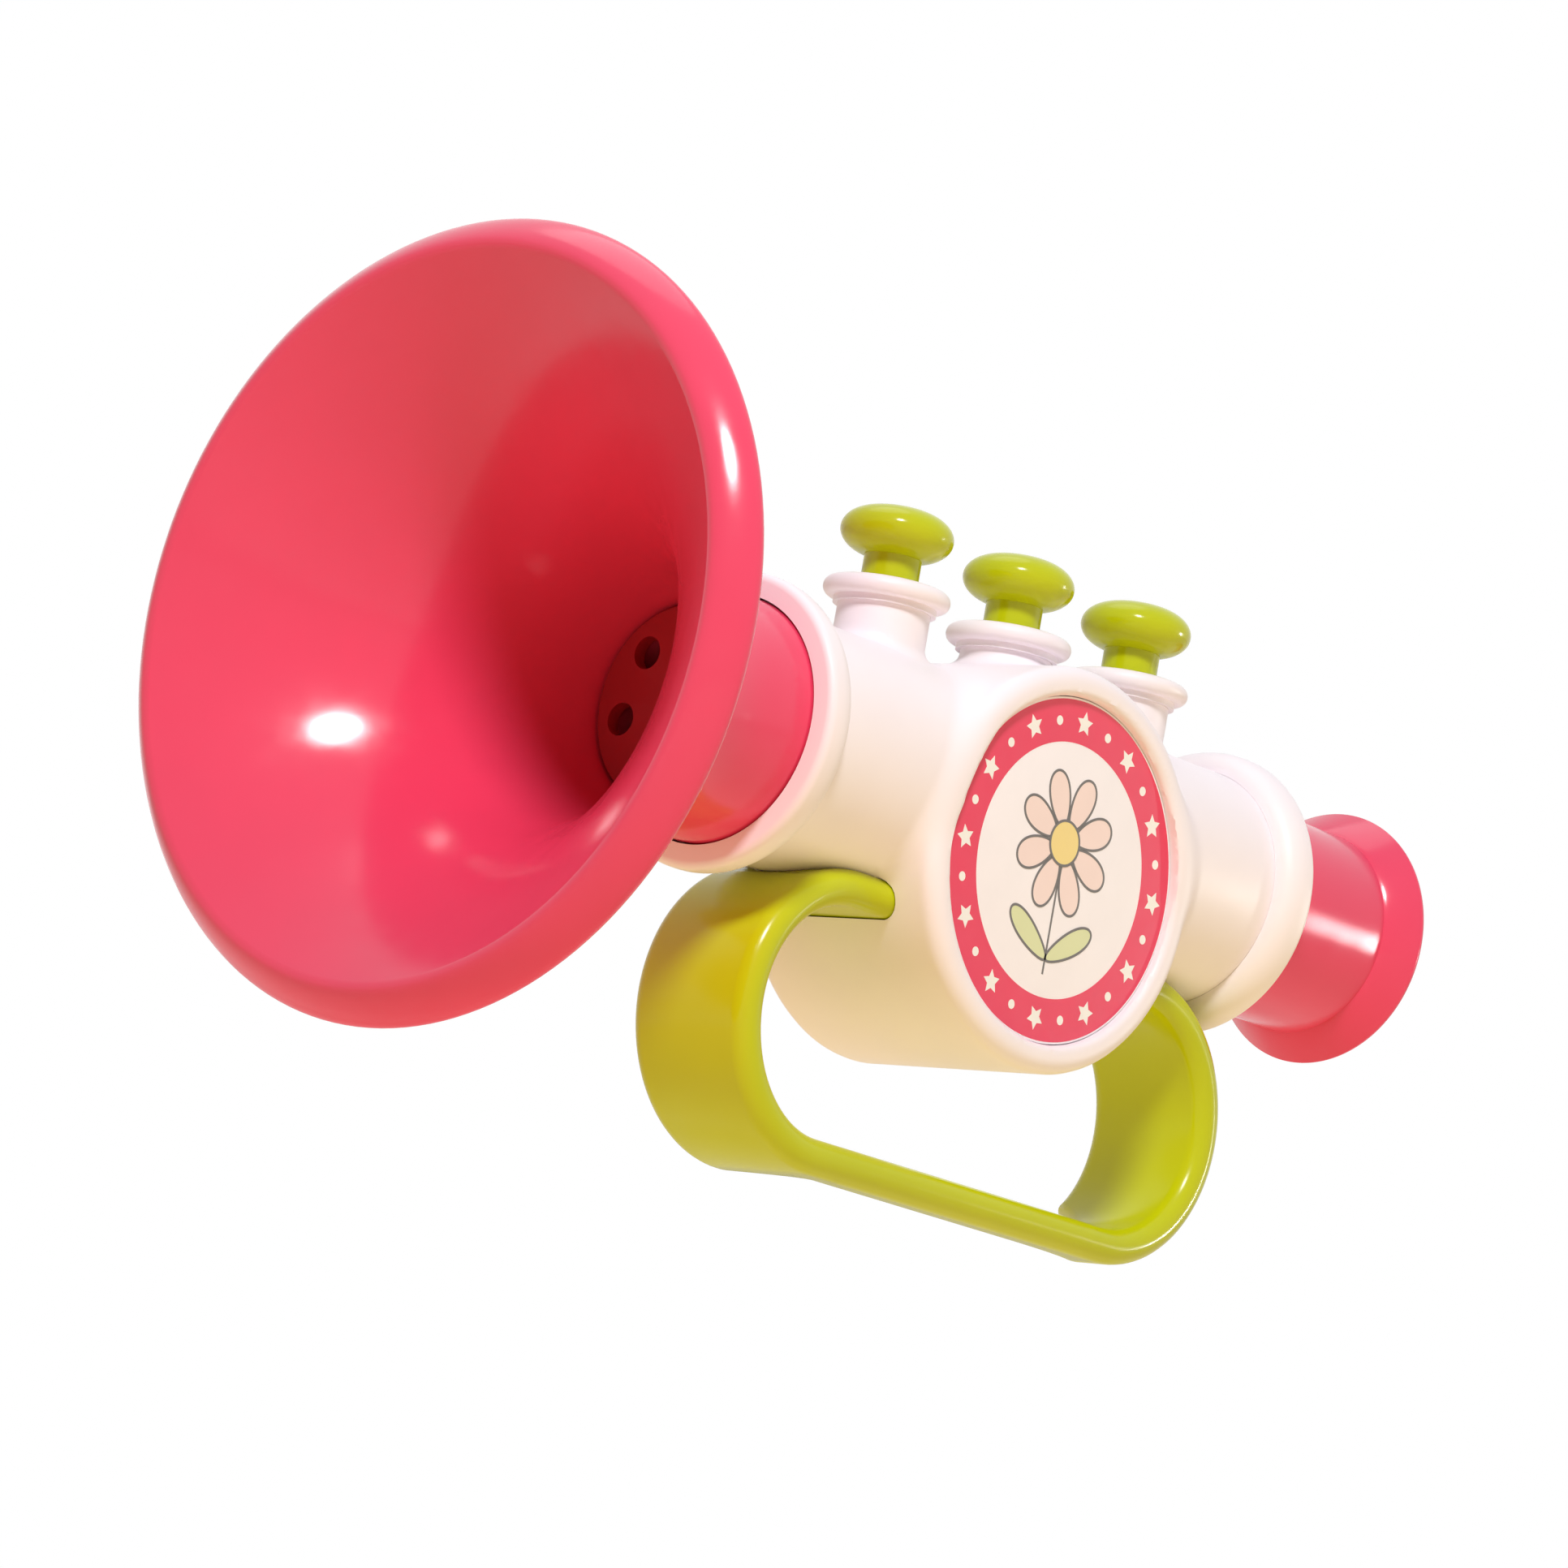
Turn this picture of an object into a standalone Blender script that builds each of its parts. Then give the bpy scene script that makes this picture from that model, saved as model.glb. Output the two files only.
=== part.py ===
# Toy trumpet with three sprung buttons, reeds in an air chest, and a loop handle.
# Units are metres. +X runs from the bell to the mouthpiece, +Z is up, and the front label faces -Y.
# The origin is on the level it stands on, under the middle of its length. Pieces are drawn from the
# middle button's axis and moved there at the end.

import math

import bmesh
import bpy
from mathutils import Matrix, Vector

MM = 0.001

# Gaps between pieces
FIT = 0.3 * MM
SEAT = 0.1 * MM
OVERCUT = 2.0 * MM

# Facets round a full turn
BELL_FACETS = 48
BODY_FACETS = 40
BUTTON_FACETS = 20
HOLE_FACETS = 10
EDGE_STEPS = 3

# Main tube
TUBE_RADIUS = 14.4 * MM
TUBE_WALL = 1.6 * MM
TUBE_FRONT_LENGTH = 44.6 * MM
TUBE_REAR_LENGTH = 40.4 * MM

# Drum across the tube
DRUM_RADIUS = 23.5 * MM
DRUM_DEPTH = 29.4 * MM
DRUM_DROP = 6.2 * MM
DRUM_WALL = 1.8 * MM
DRUM_EDGE = 2.0 * MM
DRUM_RIM = 3.4 * MM
DRUM_LEDGE = 1.6 * MM
DRUM_LEDGE_HEIGHT = 1.5 * MM
COVER_THICKNESS = 1.5 * MM
COVER_RECESS = 1.1 * MM
LABEL_THICKNESS = 0.2 * MM

# Screws that hold the two covers together, their posts set by angle from the top of the drum
COVER_POST_RADIUS = 2.6 * MM
COVER_SCREW_RADIUS = 1.1 * MM
COVER_SCREW_HEAD = 2.4 * MM
COVER_SCREW_HEAD_HEIGHT = 1.2 * MM
COVER_SCREW_GRIP = 8.0 * MM
POST_ANGLES = (-30.0, 30.0, -142.0, 142.0)

# Valves and buttons
SLEEVE_RADIUS = 5.4 * MM
SLEEVE_WALL = 1.0 * MM
VALVE_CAP_RADIUS = 7.4 * MM
VALVE_CAP_HEIGHT = 2.9 * MM
VALVE_CAP_WEB = 1.2 * MM
VALVE_CAP_TOP = 21.7 * MM
BUTTON_RADIUS = 6.67 * MM
BUTTON_HEIGHT = 6.2 * MM
BUTTON_TRAVEL = 2.8 * MM
BUTTON_HEAD_STEPS = 10
BUTTON_HEAD_FULLNESS = 0.75
STEM_RADIUS = 3.35 * MM
FOOT_HEIGHT = 1.4 * MM
ROD_RADIUS = 1.4 * MM
SPRING_WIRE_RADIUS = 0.35 * MM
SPRING_TURNS = 5
SPRING_POINTS_PER_TURN = 8

# Air chest and reed deck, inside the tube
CHEST_HALF_WIDTH = 9.7 * MM
CHEST_INLET_GAP = 2.4 * MM
CHEST_END_MARGIN = 9.2 * MM
CHEST_WALL = 1.4 * MM
DECK_TOP = 3.0 * MM
DECK_THICKNESS = 1.6 * MM
GASKET_THICKNESS = 0.6 * MM
PAD_THICKNESS = 2.0 * MM
PAD_HALF_LENGTH = 7.0 * MM
PAD_SIDE_GAP = 0.9 * MM
PAD_SCREW_RADIUS = 0.6 * MM
PAD_SCREW_HEAD = 2.2 * MM
PAD_SCREW_HEAD_HEIGHT = 1.2 * MM
PAD_SCREW_GRIP = 3.0 * MM
DECK_SCREW_RADIUS = 0.8 * MM
DECK_SCREW_HEAD = 1.7 * MM
DECK_SCREW_HEAD_HEIGHT = 1.1 * MM
DECK_SCREW_GRIP = 4.0 * MM
DECK_BOSS_RADIUS = 1.8 * MM
REED_LENGTH = 13.0 * MM
OPEN_REED_LENGTH = 8.4 * MM
REED_WIDTH = 2.6 * MM
REED_THICKNESS = 0.4 * MM
REED_OFFSET = 5.2 * MM
REED_SLOT_WIDTH = 2.0 * MM
REED_FOOT = 3.2 * MM
REED_SCREW_RADIUS = 0.6 * MM
REED_SCREW_HEAD = 1.2 * MM
REED_SCREW_HEAD_HEIGHT = 0.8 * MM

# Bell
BELL_LIP_RADIUS = 45.0 * MM
BELL_CREST_RADIUS = 41.4 * MM
BELL_CREST_ROUND = 1.6 * MM
BELL_LIP_SET_BACK = 3.9 * MM
BELL_LIP_ROUND = 1.2 * MM
BELL_LIP_FULLNESS = 0.3
BELL_LENGTH = 50.9 * MM
BELL_WALL = 2.2 * MM
BELL_NECK_RADIUS = 14.2 * MM
BELL_NECK_LENGTH = 8.4 * MM
BELL_FLARE_POWER = 2.2
BELL_BORE_BEND = 0.6
BELL_FLARE_STEPS = 6
BELL_LIP_STEPS = 6
BELL_EDGE_STEPS = 3
BELL_LIP_START = 54.0
BELL_LIP_END = -123.0
SPIGOT_LENGTH = 8.5 * MM
SPIGOT_WALL = 2.1 * MM
GRILLE_THICKNESS = 1.8 * MM
GRILLE_SETBACK = 7.2 * MM
GRILLE_HOLES = 6
GRILLE_HOLE_RADIUS = 1.9 * MM
GRILLE_HOLE_RING = 8.0 * MM
GRILLE_FIRST_HOLE = -13.5

# Collars over the joints
BELL_COLLAR_RADIUS = 17.3 * MM
BELL_COLLAR_OVERHANG = 2.4 * MM
BELL_COLLAR_LENGTH = 4.7 * MM
MOUTHPIECE_COLLAR_RADIUS = 17.2 * MM
MOUTHPIECE_COLLAR_LENGTH = 4.6 * MM
MOUTHPIECE_COLLAR_OVERLAP = 2.4 * MM
COLLAR_OUTER_EDGE = 1.0 * MM
COLLAR_INNER_EDGE = 2.0 * MM

# Mouthpiece and the inlet behind it
MOUTHPIECE_RIM_RADIUS = 15.6 * MM
MOUTHPIECE_RIM_EDGE = 0.9 * MM
MOUTHPIECE_LENGTH = 26.7 * MM
MOUTHPIECE_WALL = 1.8 * MM
MOUTHPIECE_FLARE_LENGTH = 3.7 * MM
MOUTHPIECE_FLARE_POWER = 1.1
MOUTHPIECE_FLARE_STEPS = 4
MOUTHPIECE_CUP_DEPTH = 5.0 * MM
MOUTHPIECE_CUP_POWER = 0.5
BLOW_HOLE_RADIUS = 4.0 * MM
MOUTHPIECE_SPIGOT_LENGTH = 4.4 * MM
INLET_THICKNESS = 2.0 * MM
NOZZLE_RADIUS = 2.6 * MM
NOZZLE_WALL = 0.8 * MM

# Handle
HANDLE_DROP = 12.6 * MM
HANDLE_HEIGHT = 34.9 * MM
HANDLE_HALF_LENGTH = 43.5 * MM
HANDLE_THICKNESS = 4.2 * MM
HANDLE_BAND_WIDTH = 17.5 * MM
HANDLE_GRIP_WIDTH = 6.2 * MM
HANDLE_TAB_INSERT = 3.9 * MM
HANDLE_BEND_STEPS = 14
HANDLE_GRIP_STEPS = 4
HANDLE_EDGE_STEPS = 4
HANDLE_PIN_RADIUS = 0.6 * MM
HANDLE_PIN_LIFT = 1.4 * MM
HANDLE_PIN_OVERHANG = 1.3 * MM
# Where the back of the band comes in to the grip, along the loop from the bottom of each bend
FRONT_TAPER = (0.8 * MM, 4.5 * MM)
REAR_TAPER = (-12.0 * MM, 18.0 * MM)
TAPER_POWER = 4

# Places worked out from the sizes above
AXIS_Z = HANDLE_DROP + HANDLE_HEIGHT
TUBE_BORE = TUBE_RADIUS - TUBE_WALL
DRUM_Z = AXIS_Z - DRUM_DROP
DRUM_HALF_DEPTH = DRUM_DEPTH / 2
DRUM_BORE = DRUM_RADIUS - DRUM_WALL
DRUM_RECESS_RADIUS = DRUM_RADIUS - DRUM_RIM
LABEL_FACE = DRUM_HALF_DEPTH - COVER_RECESS
COVER_OUTER_FACE = LABEL_FACE - LABEL_THICKNESS - SEAT
COVER_INNER_FACE = COVER_OUTER_FACE - COVER_THICKNESS
LEDGE_FACE = COVER_INNER_FACE - SEAT
LEDGE_BACK = LEDGE_FACE - DRUM_LEDGE_HEIGHT
COVER_RADIUS = DRUM_RECESS_RADIUS - FIT
LEDGE_RADIUS = DRUM_RECESS_RADIUS - DRUM_LEDGE
POST_RING = LEDGE_RADIUS - FIT - COVER_POST_RADIUS
POST_PLACES = [
    (POST_RING * math.sin(math.radians(angle)), DRUM_Z + POST_RING * math.cos(math.radians(angle)))
    for angle in POST_ANGLES
]

MOUTHPIECE_COLLAR_START = TUBE_REAR_LENGTH - MOUTHPIECE_COLLAR_OVERLAP
MOUTHPIECE_COLLAR_END = MOUTHPIECE_COLLAR_START + MOUTHPIECE_COLLAR_LENGTH
MOUTHPIECE_START_X = TUBE_REAR_LENGTH - MOUTHPIECE_SPIGOT_LENGTH
MOUTHPIECE_END_X = TUBE_REAR_LENGTH + MOUTHPIECE_LENGTH
INLET_BACK_X = MOUTHPIECE_START_X - SEAT
INLET_FRONT_X = INLET_BACK_X - INLET_THICKNESS

CHEST_HALF_LENGTH = INLET_FRONT_X - CHEST_INLET_GAP
VALVE_PITCH = CHEST_HALF_LENGTH - CHEST_END_MARGIN
VALVE_PLACES = (-VALVE_PITCH, 0.0, VALVE_PITCH)
CAP_TOP_Z = AXIS_Z + VALVE_CAP_TOP
CAP_BOTTOM_Z = CAP_TOP_Z - VALVE_CAP_HEIGHT
CAP_WEB_Z = CAP_TOP_Z - VALVE_CAP_WEB
SLEEVE_TOP_Z = CAP_WEB_Z - SEAT
SLEEVE_BORE = SLEEVE_RADIUS - SLEEVE_WALL
FOOT_RADIUS = SLEEVE_BORE - FIT
FOOT_TOP_Z = CAP_WEB_Z - SEAT
FOOT_BOTTOM_Z = FOOT_TOP_Z - FOOT_HEIGHT
BUTTON_BOTTOM_Z = CAP_TOP_Z + BUTTON_TRAVEL + SEAT

DECK_TOP_Z = AXIS_Z + DECK_TOP
DECK_BOTTOM_Z = DECK_TOP_Z - DECK_THICKNESS
GASKET_TOP_Z = DECK_BOTTOM_Z - SEAT
GASKET_BOTTOM_Z = GASKET_TOP_Z - GASKET_THICKNESS
CHEST_TOP_Z = GASKET_BOTTOM_Z - SEAT
CHEST_BOTTOM_Z = AXIS_Z - math.sqrt((TUBE_BORE - FIT) ** 2 - CHEST_HALF_WIDTH ** 2)
CHEST_FLOOR_Z = CHEST_BOTTOM_Z + CHEST_WALL
PAD_TOP_Z = DECK_BOTTOM_Z - SEAT
PAD_BOTTOM_Z = PAD_TOP_Z - PAD_THICKNESS
PAD_HALF_WIDTH = CHEST_HALF_WIDTH - CHEST_WALL - PAD_SIDE_GAP
ROD_BOTTOM_Z = PAD_TOP_Z + SEAT
ROD_HOLE_TOP_Z = ROD_BOTTOM_Z + PAD_SCREW_GRIP + FIT
SPRING_RADIUS = STEM_RADIUS - 2 * SPRING_WIRE_RADIUS
REED_BOTTOM_Z = DECK_TOP_Z + SEAT
REED_TOP_Z = REED_BOTTOM_Z + REED_THICKNESS
DECK_SCREW_X = VALVE_PITCH / 2
DECK_SCREW_Y = CHEST_HALF_WIDTH - CHEST_WALL - DECK_BOSS_RADIUS - FIT
DECK_SCREW_PLACES = (
    (-DECK_SCREW_X, -DECK_SCREW_Y),
    (-DECK_SCREW_X, DECK_SCREW_Y),
    (DECK_SCREW_X, -DECK_SCREW_Y),
    (DECK_SCREW_X, DECK_SCREW_Y),
)

SPIGOT_RADIUS = TUBE_BORE - FIT
BELL_SHOULDER_X = -TUBE_FRONT_LENGTH - FIT
BELL_FRONT_X = BELL_SHOULDER_X - BELL_LENGTH
BELL_COLLAR_START = -TUBE_FRONT_LENGTH - BELL_COLLAR_OVERHANG
BELL_COLLAR_END = BELL_COLLAR_START + BELL_COLLAR_LENGTH
BELL_FLARE_X = BELL_SHOULDER_X - BELL_NECK_LENGTH
BELL_THROAT = BELL_NECK_RADIUS - BELL_WALL
GRILLE_BACK_X = BELL_SHOULDER_X - GRILLE_SETBACK
GRILLE_FRONT_X = GRILLE_BACK_X - GRILLE_THICKNESS
NOZZLE_TIP_X = CHEST_HALF_LENGTH - CHEST_WALL
NOZZLE_Z = (CHEST_FLOOR_Z + CHEST_TOP_Z) / 2

HANDLE_BEND_RADIUS = (HANDLE_HEIGHT - HANDLE_THICKNESS) / 2
HANDLE_BEND_X = HANDLE_HALF_LENGTH - HANDLE_HEIGHT / 2
HANDLE_BEND_Z = HANDLE_HEIGHT / 2
TAB_TOP_Z = HANDLE_HEIGHT
TAB_BOTTOM_Z = TAB_TOP_Z - HANDLE_THICKNESS
PIN_Z = TAB_BOTTOM_Z + HANDLE_PIN_LIFT
PIN_X = math.sqrt(DRUM_BORE ** 2 - (PIN_Z - DRUM_Z) ** 2) - HANDLE_PIN_RADIUS - FIT
TAB_END_X = PIN_X - HANDLE_TAB_INSERT
SADDLE_START_X = PIN_X + HANDLE_PIN_RADIUS + FIT / 2

LENGTH_MIDDLE_X = (MOUTHPIECE_END_X + BELL_FRONT_X) / 2

# Colours in linear RGB, with roughness and metallic
PLASTIC_ROUGHNESS = 0.25
METAL_ROUGHNESS = 0.35
RUBBER_ROUGHNESS = 0.8
RED = (0.88, 0.07, 0.11)
CREAM = (0.90, 0.80, 0.77)
GREEN = (0.52, 0.55, 0.02)
PAPER = (0.85, 0.45, 0.45)
BLACK = (0.03, 0.03, 0.03)
BRASS = (0.70, 0.48, 0.16)
STEEL = (0.60, 0.60, 0.60)


def arc(centre, radius, start, end, steps):
    """Points on an arc in the (radius, height) plane, angles in degrees from the radius axis."""
    points = []
    for step in range(steps + 1):
        angle = math.radians(start + (end - start) * step / steps)
        points.append((centre[0] + radius * math.cos(angle), centre[1] + radius * math.sin(angle)))
    return points


def plastic(colour):
    return (colour, PLASTIC_ROUGHNESS, 0.0)


def metal(colour):
    return (colour, METAL_ROUGHNESS, 1.0)


def rubber():
    return (BLACK, RUBBER_ROUGHNESS, 0.0)


def give_material(thing, finish):
    colour, roughness, metallic = finish
    material = bpy.data.materials.new(thing.name)
    material.use_nodes = True
    shader = material.node_tree.nodes["Principled BSDF"]
    shader.inputs["Base Color"].default_value = (*colour, 1.0)
    shader.inputs["Roughness"].default_value = roughness
    shader.inputs["Metallic"].default_value = metallic
    thing.data.materials.append(material)


def add_part(name, data, finish):
    thing = bpy.data.objects.new(name, data)
    PARTS.objects.link(thing)
    give_material(thing, finish)
    return thing


def add_cutter(name, data):
    thing = bpy.data.objects.new(name, data)
    CUTTERS.objects.link(thing)
    thing.hide_render = True
    thing.display_type = "WIRE"
    return thing


def point_along(thing, axis, centre, facets):
    """Turn a piece made round Z so that it runs along the axis, flats up, and put it at its centre."""
    turns = {
        "X": Matrix.Rotation(math.pi / 2, 4, "Y"),
        "Y": Matrix.Rotation(-math.pi / 2, 4, "X"),
        "Z": Matrix.Identity(4),
    }
    half_facet = Matrix.Rotation(math.pi / facets, 4, "Z")
    thing.matrix_basis = Matrix.Translation(centre) @ turns[axis] @ half_facet


def profile_mesh(name, points, closed):
    mesh = bpy.data.meshes.new(name)
    count = len(points)
    edges = [(i, i + 1) for i in range(count - 1)]
    if closed:
        edges.append((count - 1, 0))
    mesh.from_pydata([(radius, 0.0, height) for radius, height in points], edges, [])
    return mesh


def spin(thing, facets):
    """Turn the profile into a body round Z."""
    screw = thing.modifiers.new("spin", "SCREW")
    screw.axis = "Z"
    screw.angle = 2 * math.pi
    screw.screw_offset = 0.0
    screw.steps = facets
    screw.render_steps = facets
    screw.use_merge_vertices = True
    screw.merge_threshold = 0.001 * MM
    screw.use_smooth_shade = True


def turned_part(name, points, closed, axis, centre, facets, finish):
    """A turned piece. An open profile starts and ends on the axis; a closed one is a ring."""
    thing = add_part(name, profile_mesh(name, points, closed), finish)
    spin(thing, facets)
    point_along(thing, axis, centre, facets)
    return thing


def turned_cutter(name, points, axis, centre, facets):
    thing = add_cutter(name, profile_mesh(name, points, closed=False))
    spin(thing, facets)
    point_along(thing, axis, centre, facets)
    return thing


def rod_profile(radius, low, high):
    return [(0.0, high), (radius, high), (radius, low), (0.0, low)]


def hole(name, radius, low, high, axis, centre, facets=HOLE_FACETS):
    return turned_cutter(name, rod_profile(radius, low, high), axis, centre, facets)


def box_mesh(name, low, high):
    mesh = bpy.data.meshes.new(name)
    shape = bmesh.new()
    bmesh.ops.create_cube(shape, size=1.0)
    size = Vector(high) - Vector(low)
    middle = (Vector(high) + Vector(low)) / 2
    shape.transform(Matrix.Translation(middle) @ Matrix.Diagonal((*size, 1.0)))
    shape.to_mesh(mesh)
    shape.free()
    return mesh


def box_part(name, low, high, finish):
    return add_part(name, box_mesh(name, low, high), finish)


def box_cutter(name, low, high):
    return add_cutter(name, box_mesh(name, low, high))


def combine(thing, others, operation):
    """Join or cut with all the others in one step, so that their own overlaps do no harm."""
    group = bpy.data.collections.new(f"{thing.name}_{operation.lower()}")
    CUTTERS.children.link(group)
    for other in others:
        CUTTERS.objects.unlink(other)
        group.objects.link(other)
    step = thing.modifiers.new(operation.lower(), "BOOLEAN")
    step.operation = operation
    step.solver = "EXACT"
    step.operand_type = "COLLECTION"
    step.collection = group


def cut(thing, cutters):
    combine(thing, cutters, "DIFFERENCE")


def join(thing, others):
    combine(thing, others, "UNION")


def soft_corner(start, end, fullness, steps):
    """Points from the widest place to the front, along the axis at first and along the radius at last."""
    points = []
    for step in range(steps + 1):
        share = step / steps
        along = share ** 2 * (3.0 - 2.0 * share)
        swing = 3.0 * fullness * share * (1.0 - share)
        points.append((start[0] + (end[0] - start[0]) * (along - swing * share),
                       start[1] + (end[1] - start[1]) * (along + swing * (1.0 - share))))
    return points


def bent_line(start, end, bend, steps):
    """Points from a start (radius, height) to an end, straight at first and then curving outward."""
    points = []
    for step in range(steps + 1):
        share = step / steps
        points.append((start[0] + (end[0] - start[0]) * ((1.0 - bend) * share + bend * share ** 3),
                       start[1] + (end[1] - start[1]) * share))
    return points


def flare(start, end, power, steps):
    """Points from a start (radius, height) to an end, curving away from the start's radius."""
    points = []
    for step in range(steps + 1):
        share = step / steps
        radius = start[0] + (end[0] - start[0]) * share ** power
        points.append((radius, start[1] + (end[1] - start[1]) * share))
    return points


# Horn end


def make_bell():
    spigot_end = BELL_SHOULDER_X + SPIGOT_LENGTH
    spigot_bore = SPIGOT_RADIUS - SPIGOT_WALL
    widest_x = BELL_FRONT_X + BELL_LIP_SET_BACK
    back = arc((BELL_LIP_RADIUS - BELL_LIP_ROUND, widest_x), BELL_LIP_ROUND, BELL_LIP_START, 0.0,
               BELL_EDGE_STEPS)
    front = soft_corner(back[-1], (BELL_CREST_RADIUS, BELL_FRONT_X), BELL_LIP_FULLNESS, BELL_LIP_STEPS)
    crest = arc((BELL_CREST_RADIUS, BELL_FRONT_X + BELL_CREST_ROUND), BELL_CREST_ROUND, -90.0, BELL_LIP_END,
                BELL_EDGE_STEPS)
    lip = back + front[1:] + crest[1:]
    outside = flare((BELL_NECK_RADIUS, BELL_FLARE_X), lip[0], BELL_FLARE_POWER, BELL_FLARE_STEPS)
    inside = bent_line((BELL_THROAT, GRILLE_FRONT_X - FIT), lip[-1], BELL_BORE_BEND, BELL_FLARE_STEPS)
    inside.reverse()
    points = [(SPIGOT_RADIUS, spigot_end), (SPIGOT_RADIUS, BELL_SHOULDER_X),
              (BELL_NECK_RADIUS, BELL_SHOULDER_X)]
    points += outside[:-1] + lip + inside[1:]
    points += [(BELL_THROAT, GRILLE_BACK_X), (spigot_bore, GRILLE_BACK_X), (spigot_bore, spigot_end)]
    turned_part("bell", points, True, "X", (0.0, 0.0, AXIS_Z), BELL_FACETS, plastic(RED))


def make_bell_grille():
    profile = rod_profile(BELL_THROAT - FIT, GRILLE_FRONT_X, GRILLE_BACK_X - SEAT)
    grille = turned_part("bell_grille", profile, False, "X", (0.0, 0.0, AXIS_Z), BUTTON_FACETS,
                         plastic(RED))
    holes = []
    for number in range(GRILLE_HOLES):
        angle = math.radians(GRILLE_FIRST_HOLE + 360.0 * number / GRILLE_HOLES)
        across = GRILLE_HOLE_RING * math.cos(angle)
        up = GRILLE_HOLE_RING * math.sin(angle)
        holes.append(hole(f"grille_hole_{number + 1}", GRILLE_HOLE_RADIUS, GRILLE_FRONT_X - OVERCUT,
                          GRILLE_BACK_X + OVERCUT, "X", (0.0, across, AXIS_Z + up)))
    cut(grille, holes)


def collar_outside(radius, low, high, low_edge, high_edge):
    """The outer side of a collar, rounded at both ends, from its high end to its low end."""
    points = arc((radius - high_edge, high - high_edge), high_edge, 90.0, 0.0, EDGE_STEPS)
    points += arc((radius - low_edge, low + low_edge), low_edge, 0.0, -90.0, EDGE_STEPS)
    return points


def make_bell_collar():
    bore = TUBE_RADIUS + FIT
    points = collar_outside(BELL_COLLAR_RADIUS, BELL_COLLAR_START, BELL_COLLAR_END, COLLAR_OUTER_EDGE,
                            COLLAR_INNER_EDGE)
    points += [(bore, BELL_COLLAR_START), (bore, BELL_COLLAR_END)]
    turned_part("bell_collar", points, True, "X", (0.0, 0.0, AXIS_Z), BODY_FACETS, plastic(CREAM))


# Body


def drum_profile():
    """The solid drum, with both rims rounded."""
    edge = DRUM_RADIUS - DRUM_EDGE
    rim = DRUM_HALF_DEPTH - DRUM_EDGE
    points = [(0.0, DRUM_HALF_DEPTH)]
    points += arc((edge, rim), DRUM_EDGE, 90.0, 0.0, EDGE_STEPS)
    points += arc((edge, -rim), DRUM_EDGE, 0.0, -90.0, EDGE_STEPS)
    points.append((0.0, -DRUM_HALF_DEPTH))
    return points


def drum_hollow_profile():
    """The space in the drum, with a ledge under each cover."""
    beyond = DRUM_HALF_DEPTH + OVERCUT
    top = [(0.0, beyond), (DRUM_RECESS_RADIUS, beyond), (DRUM_RECESS_RADIUS, LEDGE_FACE),
           (LEDGE_RADIUS, LEDGE_FACE), (LEDGE_RADIUS, LEDGE_BACK), (DRUM_BORE, LEDGE_BACK)]
    bottom = [(radius, -height) for radius, height in reversed(top)]
    return top + bottom


def handle_slot(side):
    """A slot in the drum's side for the handle's end, kept clear of the tube's wall."""
    name = "handle_slot_front" if side < 0 else "handle_slot_rear"
    ends = sorted((side * (TAB_END_X - OVERCUT), side * (DRUM_RADIUS + OVERCUT)))
    half_width = HANDLE_BAND_WIDTH / 2 + FIT
    slot = box_cutter(name, (ends[0], -half_width, TAB_BOTTOM_Z - FIT),
                      (ends[1], half_width, TAB_TOP_Z + FIT))
    tube = rod_profile(TUBE_RADIUS + FIT / 2, -TUBE_FRONT_LENGTH, TUBE_REAR_LENGTH)
    keep = turned_cutter(name + "_keep", tube, "X", (0.0, 0.0, AXIS_Z), BODY_FACETS)
    cut(slot, [keep])
    return slot


def make_body_shell():
    axis = (0.0, 0.0, AXIS_Z)
    tube = rod_profile(TUBE_RADIUS, -TUBE_FRONT_LENGTH, TUBE_REAR_LENGTH)
    shell = turned_part("body_shell", tube, False, "X", axis, BODY_FACETS, plastic(CREAM))
    drum = turned_cutter("drum_solid", drum_profile(), "Y", (0.0, 0.0, DRUM_Z), BODY_FACETS)
    bore = rod_profile(TUBE_BORE, -TUBE_FRONT_LENGTH - OVERCUT, TUBE_REAR_LENGTH + OVERCUT)
    cutters = [
        turned_cutter("tube_bore", bore, "X", axis, BODY_FACETS),
        turned_cutter("drum_hollow", drum_hollow_profile(), "Y", (0.0, 0.0, DRUM_Z), BODY_FACETS),
        handle_slot(-1),
        handle_slot(1),
    ]
    sleeves = []
    for number, x in enumerate(VALVE_PLACES, start=1):
        place = (x, 0.0, 0.0)
        sleeves.append(hole(f"sleeve_{number}", SLEEVE_RADIUS, AXIS_Z, SLEEVE_TOP_Z, "Z", place,
                            BUTTON_FACETS))
        cutters.append(hole(f"sleeve_bore_{number}", SLEEVE_BORE, DECK_TOP_Z, SLEEVE_TOP_Z + OVERCUT, "Z",
                            place, BUTTON_FACETS))
    join(shell, [drum] + sleeves)
    cut(shell, cutters)


def make_front_cover():
    disc = rod_profile(COVER_RADIUS, -COVER_OUTER_FACE, -COVER_INNER_FACE)
    cover = turned_part("front_cover", disc, False, "Y", (0.0, 0.0, DRUM_Z), BODY_FACETS, plastic(CREAM))
    post_start = -COVER_OUTER_FACE + COVER_THICKNESS / 2
    post_end = COVER_INNER_FACE - SEAT
    hole_start = post_end - COVER_SCREW_GRIP - FIT
    posts = []
    holes = []
    for number, (x, z) in enumerate(POST_PLACES, start=1):
        posts.append(hole(f"post_{number}", COVER_POST_RADIUS, post_start, post_end, "Y", (x, 0.0, z)))
        holes.append(hole(f"post_hole_{number}", COVER_SCREW_RADIUS + FIT, hole_start, post_end + OVERCUT,
                          "Y", (x, 0.0, z)))
    join(cover, posts)
    cut(cover, holes)


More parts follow.
